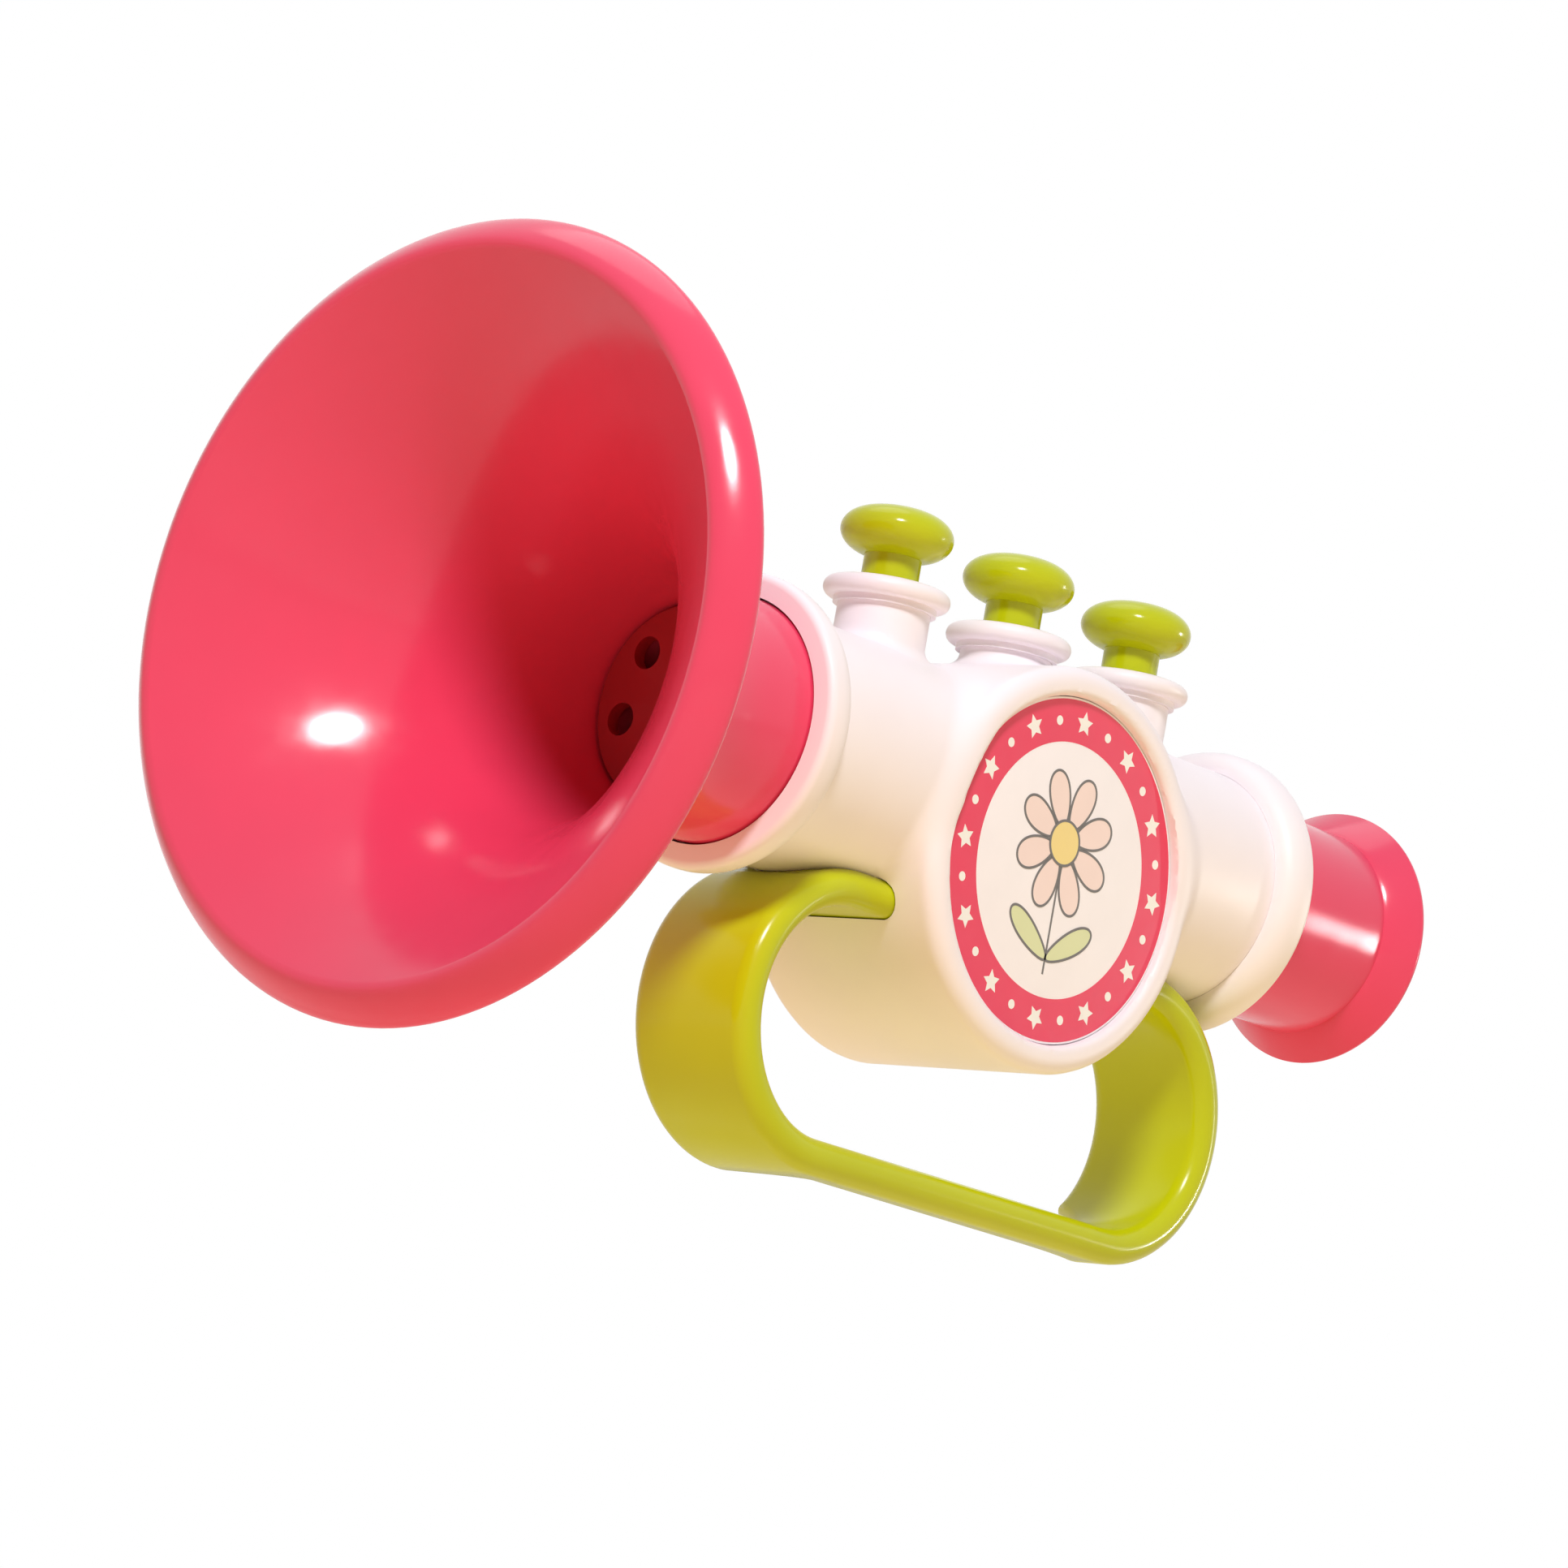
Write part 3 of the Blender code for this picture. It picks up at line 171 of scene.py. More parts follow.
# Mouthpiece
MOUTHPIECE_RIM_RADIUS = 15.55 * MM
MOUTHPIECE_RIM_EDGE = 0.9 * MM
MOUTHPIECE_WALL = 1.8 * MM
MOUTHPIECE_FLARE_LENGTH = 3.7 * MM
MOUTHPIECE_FLARE_POWER = 0.85
MOUTHPIECE_CUP_DEPTH = 5.0 * MM
MOUTHPIECE_CUP_POWER = 0.5
BLOW_HOLE_RADIUS = 4.0 * MM

# Handle; a taper's start and end are places along the loop, from where the bend meets the grip
HANDLE_THICKNESS = 4.2 * MM
HANDLE_GRIP_WIDTH = 6.2 * MM
HANDLE_BEND_STEPS = 56
HANDLE_GRIP_STEPS = 16
HANDLE_EDGE_STEPS = 14
HANDLE_FRONT_TAPER = (0.8 * MM, 4.5 * MM)
HANDLE_REAR_TAPER = (-12.0 * MM, 18.0 * MM)
HANDLE_TAPER_POWER = 4
HANDLE_HEIGHT = HANDLE_HIGH.z - HANDLE_LOW.z
HANDLE_WIDTH = HANDLE_HIGH.y - HANDLE_LOW.y
HANDLE_BEND_RADIUS = (HANDLE_HEIGHT - HANDLE_THICKNESS) / 2
HANDLE_BEND_X = (HANDLE_HIGH.x - HANDLE_LOW.x) / 2 - HANDLE_HEIGHT / 2
TAB_END_X = 13.1 * MM
TAB_BOTTOM_Z = HANDLE_HEIGHT - HANDLE_THICKNESS
SADDLE_START_X = 18.8 * MM
PIN_HOLE_RADIUS = 0.9 * MM

# Label, a disc on the front cover with its print as thin layers
LABEL_RADIUS = 20.0 * MM
LABEL_EDGE = 0.05 * MM
LAYER = 0.02 * MM
LAYER_COUNT = 4
RING_OUTER = 19.75 * MM
RING_INNER = 14.8 * MM
MARK_RING = 17.25 * MM
MARK_COUNT = 12
STAR_RADIUS = 1.45 * MM
STAR_WAIST = 0.5
STAR_POINTS = 5
DOT_RADIUS = 0.55 * MM
LINE_WIDTH = 0.30 * MM
FLOWER_Z = 3.2 * MM
PETALS = 8
PETAL_LENGTH = 6.6 * MM
PETAL_WIDTH = 4.3 * MM
PETAL_START = 1.9 * MM
FLOWER_MIDDLE_RADIUS = 2.6 * MM
STALK_FOOT_Z = -12.2 * MM
LEAF_LENGTH = 8.6 * MM
LEAF_WIDTH = 3.4 * MM
LEAF_Z = -10.4 * MM
LEAF_TILT = 32.0
DROP_START_SHARE = 0.62

# Rear cover and its screws
REAR_EDGE = 0.4 * MM
REAR_RING_OUTER = 9.4 * MM
REAR_RING_INNER = 8.2 * MM
REAR_RING_HEIGHT = 0.5 * MM
SCREW_HEAD_RADIUS = 2.35 * MM
SCREW_SHANK_RADIUS = 1.1 * MM
SCREW_CROWN = 0.55 * MM
SCREW_SLOT_WIDTH = 0.55 * MM
SCREW_SLOT_LENGTH = 2.9 * MM
SCREW_SLOT_DEPTH = 0.7 * MM

# Colours in linear RGB
RED = (0.82, 0.052, 0.135)
CREAM = (0.95, 0.88, 0.94)
GREEN = (0.52, 0.57, 0.004)
CRIMSON = (0.80, 0.050, 0.12)
# Darker red for the grille deep in the bell's throat: painted shade, the throat's shadow put into the colour
# of a grille that is the bell's own red plastic
GRILLE_SHADE_RED = (0.42, 0.016, 0.03)
PAPER = (0.95, 0.91, 0.98)
WHITE = (0.93, 0.91, 0.90)
PETAL_PINK = (0.92, 0.74, 0.72)
LEAF_GREEN = (0.72, 0.76, 0.45)
LINE_GREY = (0.16, 0.15, 0.15)
MIDDLE_YELLOW = (0.88, 0.70, 0.28)
BLACK = (0.028, 0.028, 0.03)
BRASS = (0.70, 0.48, 0.16)
STEEL = (0.60, 0.60, 0.60)

# Noise in the materials: its detail, and the span of it that the colour and the roughness follow
COLOUR_DETAIL = 3.0
COLOUR_SPAN = (0.35, 0.65)
ROUGHNESS_DETAIL = 4.0
ROUGHNESS_SPAN = (0.3, 0.7)
BUMP_DETAIL = 2.0
PLASTIC_IOR = 1.5

# Camera and light
CAMERA_TARGET = Vector((MIDDLE_X - 14.3 * MM, 17.9 * MM, 47.3 * MM))
CAMERA_DISTANCE = 930.0 * MM
CAMERA_AZIMUTH = 42.46
CAMERA_ELEVATION = -8.955
CAMERA_ROLL = 10.02
CAMERA_LENS = 183.75
CAMERA_SENSOR = 36.0
CAMERA_CLIP_START = 0.05
LIGHT_TARGET = Vector((0.0, 0.0, 0.045))
KEY_DIRECTION = Vector((-0.532, -0.505, 0.679))
KEY_DISTANCE = 0.9
KEY_SIZE = (0.17, 0.17)
KEY_POWER = 5.9
TOP_DIRECTION = Vector((0.02, 0.28, 0.96))
TOP_DISTANCE = 0.9
TOP_SIZE = (0.6, 0.6)
TOP_POWER = 1.1
CARD_PLACE = Vector((0.487, -0.286, 0.073))
CARD_FACING = Vector((0.788, -0.616, 0.0))
CARD_SPREAD = math.radians(18.0)
CARD_SIZE = (0.05, 0.28)
CARD_POWER = 0.06
WORLD_LIGHT = 0.5
WORLD_DIM = 0.0
WORLD_BRIGHT_SIDE = (1.0, 0.0, 0.0)
FLOOR_SIZE = 3.0
FLOOR_WHITE = (0.93, 0.93, 0.93)
FLOOR_PALENESS = 0.5
FLOOR_GLOW = (1.05, 0.81, 0.45)


# Profiles, as points of (radius, place along the axis)


def ellipse_arc(centre, half_width, half_height, start, end, steps):
    """Points on an arc, angles in degrees from the radius direction."""
    points = []
    for step in range(steps + 1):
        angle = math.radians(start + (end - start) * step / steps)
        points.append((centre[0] + half_width * math.cos(angle), centre[1] + half_height * math.sin(angle)))
    return points


def arc(centre, radius, start, end, steps=EDGE_STEPS):
    return ellipse_arc(centre, radius, radius, start, end, steps)


def flare(start, end, power, steps=CURVE_STEPS):
    """Points from start to end, curving away from the start's radius."""
    points = []
    for step in range(steps + 1):
        share = step / steps
        points.append((start[0] + (end[0] - start[0]) * share ** power,
                       start[1] + (end[1] - start[1]) * share))
    return points


def bent_line(start, end, bend, steps=CURVE_STEPS):
    """Points from start to end, straight at first and then curving outward."""
    points = []
    for step in range(steps + 1):
        share = step / steps
        points.append((start[0] + (end[0] - start[0]) * ((1.0 - bend) * share + bend * share ** 3),
                       start[1] + (end[1] - start[1]) * share))
    return points


def soft_corner(start, end, fullness, steps=CURVE_STEPS):
    """Points from the widest place to the front, along the axis at first and along the radius at last."""
    points = []
    for step in range(steps + 1):
        share = step / steps
        along = share ** 2 * (3.0 - 2.0 * share)
        swing = 3.0 * fullness * share * (1.0 - share)
        points.append((start[0] + (end[0] - start[0]) * (along - swing * share),
                       start[1] + (end[1] - start[1]) * (along + swing * (1.0 - share))))
    return points


# Meshes


def new_object(name, mesh, place=(0.0, 0.0, 0.0)):
    thing = bpy.data.objects.new(name, mesh)
    bpy.context.scene.collection.objects.link(thing)
    thing.location = place
    return thing


def finish_mesh(name, shape):
    """Turns a bmesh into a smooth mesh that keeps its sharp edges."""
    bmesh.ops.recalc_face_normals(shape, faces=shape.faces)
    mesh = bpy.data.meshes.new(name)
    shape.to_mesh(mesh)
    shape.free()
    mesh.shade_smooth()
    mesh.set_sharp_from_angle(angle=SHARP_ANGLE)
    return mesh


def axis_frame(axis):
    """Along, and the two directions across, for a piece turned round an axis."""
    frames = {
        "X": (Vector((1, 0, 0)), Vector((0, 1, 0)), Vector((0, 0, 1))),
        "Y": (Vector((0, 1, 0)), Vector((0, 0, 1)), Vector((1, 0, 0))),
        "Z": (Vector((0, 0, 1)), Vector((1, 0, 0)), Vector((0, 1, 0))),
    }
    return frames[axis]


def turned_mesh(name, points, axis, steps=TURN_STEPS, closed=True):
    """A turned body. A closed profile makes a ring; an open one starts and ends on the axis."""
    along, across, up = axis_frame(axis)
    shape = bmesh.new()
    rings = []
    for radius, height in points:
        if radius < ON_AXIS_RADIUS:
            rings.append([shape.verts.new(along * height)] * steps)
            continue
        ring = []
        for step in range(steps):
            angle = 2 * math.pi * step / steps
            ring.append(shape.verts.new(along * height
                                        + (across * math.cos(angle) + up * math.sin(angle)) * radius))
        rings.append(ring)
    pairs = list(zip(rings, rings[1:]))
    if closed:
        pairs.append((rings[-1], rings[0]))
    for first, second in pairs:
        for i in range(steps):
            k = (i + 1) % steps
            corners = []
            for corner in (first[i], first[k], second[k], second[i]):
                if corner not in corners:
                    corners.append(corner)
            shape.faces.new(corners)
    return finish_mesh(name, shape)


def swept_mesh(name, rings):
    """A solid through rings of points, closed at both ends."""
    shape = bmesh.new()
    rings = [[shape.verts.new(point) for point in ring] for ring in rings]
    for first, second in zip(rings, rings[1:]):
        for i in range(len(first)):
            k = (i + 1) % len(first)
            shape.faces.new((first[i], first[k], second[k], second[i]))
    shape.faces.new(rings[0])
    shape.faces.new(reversed(rings[-1]))
    return finish_mesh(name, shape)


def prism_mesh(name, outlines, back, front):
    """Flat shapes in the XZ plane, each an outline of (x, z) points, given thickness along Y."""
    shape = bmesh.new()
    for outline in outlines:
        low = [shape.verts.new((x, back, z)) for x, z in outline]
        high = [shape.verts.new((x, front, z)) for x, z in outline]
        shape.faces.new(low)
        shape.faces.new(reversed(high))
        for i in range(len(outline)):
            k = (i + 1) % len(outline)
            shape.faces.new((low[i], high[i], high[k], low[k]))
    return finish_mesh(name, shape)


def ribbon_mesh(name, outlines, width, back, front):
    """Closed lines of one width along each outline, given thickness along Y."""
    shape = bmesh.new()
    for outline in outlines:
        count = len(outline)
        loops = []
        for side in (-0.5, 0.5):
            for depth in (back, front):
                loop = []
                for i in range(count):
                    before = Vector(outline[i - 1])
                    after = Vector(outline[(i + 1) % count])
                    direction = (after - before).normalized()
                    out = Vector((direction.y, -direction.x)) * width * side
                    loop.append(shape.verts.new((outline[i][0] + out.x, depth, outline[i][1] + out.y)))
                loops.append(loop)
        order = [loops[0], loops[1], loops[3], loops[2]]
        for first, second in zip(order, order[1:] + order[:1]):
            for i in range(count):
                k = (i + 1) % count
                shape.faces.new((first[i], first[k], second[k], second[i]))
    return finish_mesh(name, shape)


def cut(thing, tools):
    """Cuts the tools out of the thing's mesh, and removes them."""
    for tool in tools:
        step = thing.modifiers.new("cut", "BOOLEAN")
        step.operation = "DIFFERENCE"
        step.solver = "EXACT"
        step.object = tool
    bpy.context.view_layer.update()
    depsgraph = bpy.context.evaluated_depsgraph_get()
    mesh = bpy.data.meshes.new_from_object(thing.evaluated_get(depsgraph))
    thing.modifiers.clear()
    thing.data = mesh
    mesh.shade_smooth()
    mesh.set_sharp_from_angle(angle=SHARP_ANGLE)
    for tool in tools:
        bpy.data.objects.remove(tool, do_unlink=True)


def rod(name, radius, low, high, axis, place, steps=SMALL_TURN_STEPS):
    points = [(0.0, high), (radius, high), (radius, low), (0.0, low)]
    return new_object(name, turned_mesh(name, points, axis, steps, closed=False), place)


def box(name, low, high):
    corners = [(low.x, low.z), (high.x, low.z), (high.x, high.z), (low.x, high.z)]
    return new_object(name, prism_mesh(name, [corners], low.y, high.y))


# A body from a distance field, for shapes that flow into each other


def fillet_union(first, second, radius):
    """Joins two fields with a fillet where they meet."""
    near = np.hypot(np.maximum(radius - first, 0.0), np.maximum(radius - second, 0.0))
    return np.maximum(radius, np.minimum(first, second)) - near


def rounded_cut(solid, hole, radius):
    """Cuts a hole and rounds the edge that is left."""
    return -fillet_union(-solid, hole, radius)


def field_normals(field, points):
    """Unit directions in which the field grows at the points."""
    slopes = []
    for axis in range(3):
        step = np.zeros(3)
        step[axis] = SLOPE_REACH
        slopes.append(field(points + step) - field(points - step))
    normals = np.stack(slopes, axis=-1)
    return normals / np.maximum(np.linalg.norm(normals, axis=-1, keepdims=True), LEAST_SLOPE)


def edge_crossings(field, grid, values, axis):
    """Grid edges along one axis that cross the surface: their corner, the point, and the side it faces."""
    count = values.shape[axis]
    first = np.take(values, range(count - 1), axis)
    second = np.take(values, range(1, count), axis)
    corners = np.argwhere((first < 0) != (second < 0))
    start = first[tuple(corners.T)]
    end = second[tuple(corners.T)]
    points = grid[tuple(corners.T)].copy()
    base = points[:, axis].copy()
    low = np.zeros(len(points))
    high = np.ones(len(points))
    for _ in range(CROSSING_STEPS):
        middle = (low + high) / 2
        points[:, axis] = base + FIELD_CELL * middle
        same = (field(points) < 0) == (start < 0)
        low = np.where(same, middle, low)
        high = np.where(same, high, middle)
    return corners, points, start < end


def field_mesh(name, field, low, high):
    """A closed mesh of the field's zero level: one vertex a cell, pulled to the creases."""
    sides = [np.arange(low[i] - FIELD_MARGIN, high[i] + FIELD_MARGIN, FIELD_CELL) for i in range(3)]
    grid = np.stack(np.meshgrid(*sides, indexing="ij"), axis=-1)
    values = field(grid)
    cells = np.array(values.shape)
    owners, spots, slants, quads = [], [], [], []
    for axis in range(3):
        corners, points, rising = edge_crossings(field, grid, values, axis)
        normals = field_normals(field, points)
        one, two = np.eye(3, dtype=int)[(axis + 1) % 3], np.eye(3, dtype=int)[(axis + 2) % 3]
        ring = [np.ravel_multi_index(tuple((corners - shift).T), cells)
                for shift in (0 * one, one, one + two, two)]
        quads.append(np.where(rising[:, None], np.stack(ring[::-1], axis=-1), np.stack(ring, axis=-1)))
        for owner in ring:
            owners.append(owner)
            spots.append(points)
            slants.append(normals)
    owners, spots, slants = np.concatenate(owners), np.concatenate(spots), np.concatenate(slants)
    used, index = np.unique(owners, return_inverse=True)
    places = crease_points(index, len(used), spots, slants)
    faces = np.searchsorted(used, np.concatenate(quads))
    mesh = bpy.data.meshes.new(name)
    mesh.from_pydata(places.tolist(), [], faces.tolist())
    mesh.validate()
    mesh.shade_smooth()
    mesh.set_sharp_from_angle(angle=SHARP_ANGLE)
    return mesh


def crease_points(index, count, spots, slants):
    """For each cell, the point nearest to all the planes that cross it."""
    total = np.bincount(index, minlength=count).astype(float)
    middle = np.stack([np.bincount(index, spots[:, i], count) for i in range(3)], axis=-1) / total[:, None]
    offset = np.sum(slants * (spots - middle[index]), axis=-1)
    matrix = np.zeros((count, 3, 3))
    right = np.zeros((count, 3))
    for i in range(3):
        right[:, i] = np.bincount(index, slants[:, i] * offset, count)
        for k in range(3):
            matrix[:, i, k] = np.bincount(index, slants[:, i] * slants[:, k], count)
        matrix[:, i, i] += CREASE_SOFTNESS * total
    shift = np.linalg.solve(matrix, right[:, :, None])[:, :, 0]
    return middle + np.clip(shift, -FIELD_CELL, FIELD_CELL)


# Body


def drum_field(x, y, z):
    """The solid drum with both rims rounded."""
    out = np.hypot(x, z - DRUM_Z) - (DRUM_RADIUS - DRUM_EDGE)
    deep = np.abs(y) - (DRUM_HALF_DEPTH - DRUM_EDGE)
    inside = np.minimum(np.maximum(out, deep), 0.0)
    return inside + np.hypot(np.maximum(out, 0.0), np.maximum(deep, 0.0)) - DRUM_EDGE


def drum_hollow_field(x, y, z):
    """The recess for each cover, the ledge under it, and the space between."""
    radius = np.hypot(x, z - DRUM_Z)
    deep = np.abs(y)
    recess = np.maximum(radius - DRUM_RECESS_RADIUS, DRUM_LEDGE_FACE - deep)
    space = np.maximum(radius - DRUM_BORE, deep - DRUM_LEDGE_BACK)
    return np.minimum(np.minimum(recess, space), radius - DRUM_LEDGE_RADIUS)


def handle_slot_field(x, y, z):
    """The slots for the handle's ends, kept clear of the tube's wall."""
    half = HANDLE_THICKNESS / 2
    flat = np.abs(y) - (HANDLE_WIDTH / 2 - half)
    slot = np.hypot(np.maximum(flat, 0.0), z - (TAB_BOTTOM_Z + half)) - half - FIT / 2
    slot = np.maximum(slot, TAB_END_X - FIT - np.abs(x))
    return np.maximum(slot, TUBE_RADIUS + FIT / 2 - np.hypot(y, z - AXIS_Z))


def body_field(points):
    """Tube, drum and sleeves with fillets between them, cut to length and then hollowed."""
    x, y, z = points[..., 0], points[..., 1], points[..., 2]
    front = BODY_LOW.x - MIDDLE_X
    rear = BODY_HIGH.x - MIDDLE_X
    axis_distance = np.hypot(y, z - AXIS_Z)
    solid = fillet_union(axis_distance - TUBE_RADIUS, drum_field(x, y, z), DRUM_FILLET)
    for place in VALVE_PLACES:
        sleeve = np.maximum(np.hypot(x - place, y) - SLEEVE_RADIUS, AXIS_Z - z)
        solid = fillet_union(solid, sleeve, SLEEVE_FILLET)
    solid = np.maximum(solid, z - BODY_HIGH.z)
    solid = np.maximum(solid, np.maximum(front - x, x - rear))
    solid = rounded_cut(solid, drum_hollow_field(x, y, z), RECESS_ROUND)
    solid = np.maximum(solid, TUBE_BORE - axis_distance)
    for place in VALVE_PLACES:
        bore = np.maximum(np.hypot(x - place, y) - SLEEVE_BORE, DECK_TOP_Z - z)
        solid = np.maximum(solid, -bore)
    return np.maximum(solid, -handle_slot_field(x, y, z))


def make_body():
    low = (BODY_LOW.x - MIDDLE_X, BODY_LOW.y, BODY_LOW.z)
    high = (BODY_HIGH.x - MIDDLE_X, BODY_HIGH.y, BODY_HIGH.z)
    mesh = field_mesh("body", body_field, low, high)
    body = new_object("body", mesh, (MIDDLE_X, 0.0, 0.0))
    dress(body, CREAM_PLASTIC, "trumpet", "cream_plastic", "body_shell")


def collar_profile(radius, low, high, low_edge, high_edge, bore):
    points = ellipse_arc((radius - high_edge[0], high - high_edge[1]), *high_edge, 90.0, 0.0, EDGE_STEPS)
    points += ellipse_arc((radius - low_edge[0], low + low_edge[1]), *low_edge, 0.0, -90.0, EDGE_STEPS)
    return points + bore


def make_collars():
    place = (MIDDLE_X, 0.0, AXIS_Z)
    low = BELL_COLLAR_LOW.x - MIDDLE_X
    high = BELL_COLLAR_HIGH.x - MIDDLE_X
    tube = TUBE_RADIUS + COLLAR_GAP
    points = collar_profile(BELL_COLLAR_RADIUS, low, high, COLLAR_OUTER_EDGE, COLLAR_INNER_EDGE,
                            [(tube, low), (tube, high)])
    front = new_object("front_collar", turned_mesh("front_collar", points, "X"), place)
    dress(front, CREAM_PLASTIC, "trumpet", "cream_plastic", "bell_collar")
    low = MOUTHPIECE_COLLAR_LOW.x - MIDDLE_X
    high = MOUTHPIECE_COLLAR_HIGH.x - MIDDLE_X
    step = BODY_HIGH.x - MIDDLE_X + SEAT
    spigot = SPIGOT_RADIUS + FIT
    points = collar_profile(MOUTHPIECE_COLLAR_RADIUS, low, high, COLLAR_INNER_EDGE, COLLAR_OUTER_EDGE,
                            [(tube, low), (tube, step), (spigot, step), (spigot, high)])
    rear = new_object("rear_collar", turned_mesh("rear_collar", points, "X"), place)
    dress(rear, CREAM_PLASTIC, "trumpet", "cream_plastic", "mouthpiece_collar")


# Horn end


def make_bell():
    spigot_end = SHOULDER_X + SPIGOT_LENGTH
    spigot_bore = SPIGOT_RADIUS - SPIGOT_WALL
    throat = NECK_RADIUS - BELL_WALL
    grille_back = GRILLE_HIGH.x - MIDDLE_X + SEAT
    back = arc((LIP_RADIUS - LIP_ROUND, LIP_FRONT_X + LIP_SET_BACK), LIP_ROUND, LIP_START, 0.0)
    front = soft_corner(back[-1], (CREST_RADIUS, LIP_FRONT_X), LIP_FULLNESS)
    crest = arc((CREST_RADIUS, LIP_FRONT_X + CREST_ROUND), CREST_ROUND, -90.0, LIP_END)
    lip = back + front[1:] + crest[1:]
    outside = flare((NECK_RADIUS, SHOULDER_X - NECK_LENGTH), lip[0], FLARE_POWER)
    inside = bent_line((throat, GRILLE_LOW.x - MIDDLE_X - FIT), lip[-1], BORE_BEND)
    inside.reverse()
    points = [(SPIGOT_RADIUS, spigot_end), (SPIGOT_RADIUS, SHOULDER_X), (NECK_RADIUS, SHOULDER_X)]
    points += outside[:-1] + lip + inside[1:]
    points += [(throat, grille_back), (spigot_bore, grille_back), (spigot_bore, spigot_end)]
    mesh = turned_mesh("horn_bell", points, "X")
    bell = new_object("horn_bell", mesh, (MIDDLE_X, 0.0, AXIS_Z))
    dress(bell, RED_PLASTIC, "trumpet", "red_plastic", "bell")


def make_grille():
    radius = (GRILLE_HIGH.z - GRILLE_LOW.z) / 2
    low = GRILLE_LOW.x - MIDDLE_X
    high = GRILLE_HIGH.x - MIDDLE_X
    points = [(0.0, high), (radius, high)]
    points += arc((radius - GRILLE_EDGE, low + GRILLE_EDGE), GRILLE_EDGE, 0.0, -90.0, FINE_EDGE_STEPS)
    points.append((0.0, low))
    place = Vector((MIDDLE_X, 0.0, AXIS_Z))
    grille = new_object("horn_grille", turned_mesh("horn_grille", points, "X", closed=False), place)
    holes = []
    for number in range(GRILLE_HOLES):
        angle = math.radians(GRILLE_FIRST_HOLE + 360.0 * number / GRILLE_HOLES)
        offset = Vector((0.0, math.cos(angle), math.sin(angle))) * GRILLE_HOLE_RING
        name = f"grille_hole_{number}"
        holes.append(rod(name, GRILLE_HOLE_RADIUS, low - MM, high + MM, "X", place + offset))
    cut(grille, holes)
    # The grille wears a darker red than the bell: painted shade for the dark throat
    dress(grille, SHADED_GRILLE_PLASTIC, "trumpet", "red_plastic", "bell_grille")


# Mouthpiece end


def make_mouthpiece():
    start = MOUTHPIECE_LOW.x - MIDDLE_X
    end = MOUTHPIECE_HIGH.x - MIDDLE_X
    bore = SPIGOT_RADIUS - MOUTHPIECE_WALL
    cup_bottom = end - MOUTHPIECE_CUP_DEPTH
    cup_back = cup_bottom - MOUTHPIECE_WALL
    flare_end = end - MOUTHPIECE_RIM_EDGE
    rim = arc((MOUTHPIECE_RIM_RADIUS - MOUTHPIECE_RIM_EDGE, flare_end), MOUTHPIECE_RIM_EDGE, 180.0, 0.0,
              2 * EDGE_STEPS)
    cup = flare((BLOW_HOLE_RADIUS, cup_bottom), rim[0], MOUTHPIECE_CUP_POWER)
    outside = flare((SPIGOT_RADIUS, flare_end - MOUTHPIECE_FLARE_LENGTH), rim[-1], MOUTHPIECE_FLARE_POWER)
    outside.reverse()
    points = cup[:-1] + rim + outside[1:]
    points += [(SPIGOT_RADIUS, start), (bore, start), (bore, cup_back), (BLOW_HOLE_RADIUS, cup_back)]
    mesh = turned_mesh("blowing_end", points, "X")
    mouthpiece = new_object("blowing_end", mesh, (MIDDLE_X, 0.0, AXIS_Z))
    dress(mouthpiece, RED_PLASTIC, "trumpet", "red_plastic", "mouthpiece")


# Valves and buttons


def make_valve_caps():
    edge = CAP_FLANGE / 2
    web = CAP_HIGH.z - CAP_WEB
    bore = SLEEVE_RADIUS + COLLAR_GAP
    hole = STEM_RADIUS + STEM_GAP
    points = arc((CAP_RADIUS - edge, CAP_HIGH.z - edge), edge, 90.0, -90.0, 2 * EDGE_STEPS)
    points += [(CAP_SKIRT_RADIUS, CAP_HIGH.z - CAP_FLANGE), (CAP_SKIRT_RADIUS, CAP_LOW.z), (bore, CAP_LOW.z),
               (bore, web), (hole, web), (hole, CAP_HIGH.z)]
    for number, x in enumerate(VALVE_PLACES, start=1):
        name = f"valve_ring_{number}"
        cap = new_object(name, turned_mesh(name, points, "Z", SMALL_TURN_STEPS), (MIDDLE_X + x, 0.0, 0.0))
        dress(cap, CREAM_PLASTIC, "trumpet", "cream_plastic", f"valve_cap_{number}")


def button_profile():
    """From the top of the head, down the stem, foot and rod, to the hole in the rod's end."""
    middle = BUTTON_HIGH.z - BUTTON_HEIGHT / 2
    foot_top = CAP_HIGH.z - CAP_WEB - SEAT
    points = [(0.0, BUTTON_HIGH.z)]
    steps = 2 * CURVE_STEPS
    for step in range(1, steps):
        angle = math.radians(90.0 - 180.0 * step / steps)
        radius = BUTTON_RADIUS * math.cos(angle) ** BUTTON_FULLNESS
        if angle < 0.0 and radius < STEM_RADIUS:
            break
        points.append((radius, middle + BUTTON_HEIGHT / 2 * math.sin(angle)))
    points += [(STEM_RADIUS, points[-1][1]), (STEM_RADIUS, foot_top), (FOOT_RADIUS, foot_top),
               (FOOT_RADIUS, foot_top - FOOT_HEIGHT), (ROD_RADIUS, foot_top - FOOT_HEIGHT),
               (ROD_RADIUS, BUTTON_LOW.z), (ROD_HOLE_RADIUS, BUTTON_LOW.z),
               (ROD_HOLE_RADIUS, BUTTON_LOW.z + ROD_HOLE_DEPTH), (0.0, BUTTON_LOW.z + ROD_HOLE_DEPTH)]
    return points


def make_buttons():
    points = button_profile()
    for number, x in enumerate(VALVE_PLACES, start=1):
        name = f"finger_button_{number}"
        mesh = turned_mesh(name, points, "Z", SMALL_TURN_STEPS, closed=False)
        button = new_object(name, mesh, (MIDDLE_X + x, 0.0, 0.0))
        dress(button, GREEN_PLASTIC, f"button_{number}", "green_plastic", f"button_{number}")


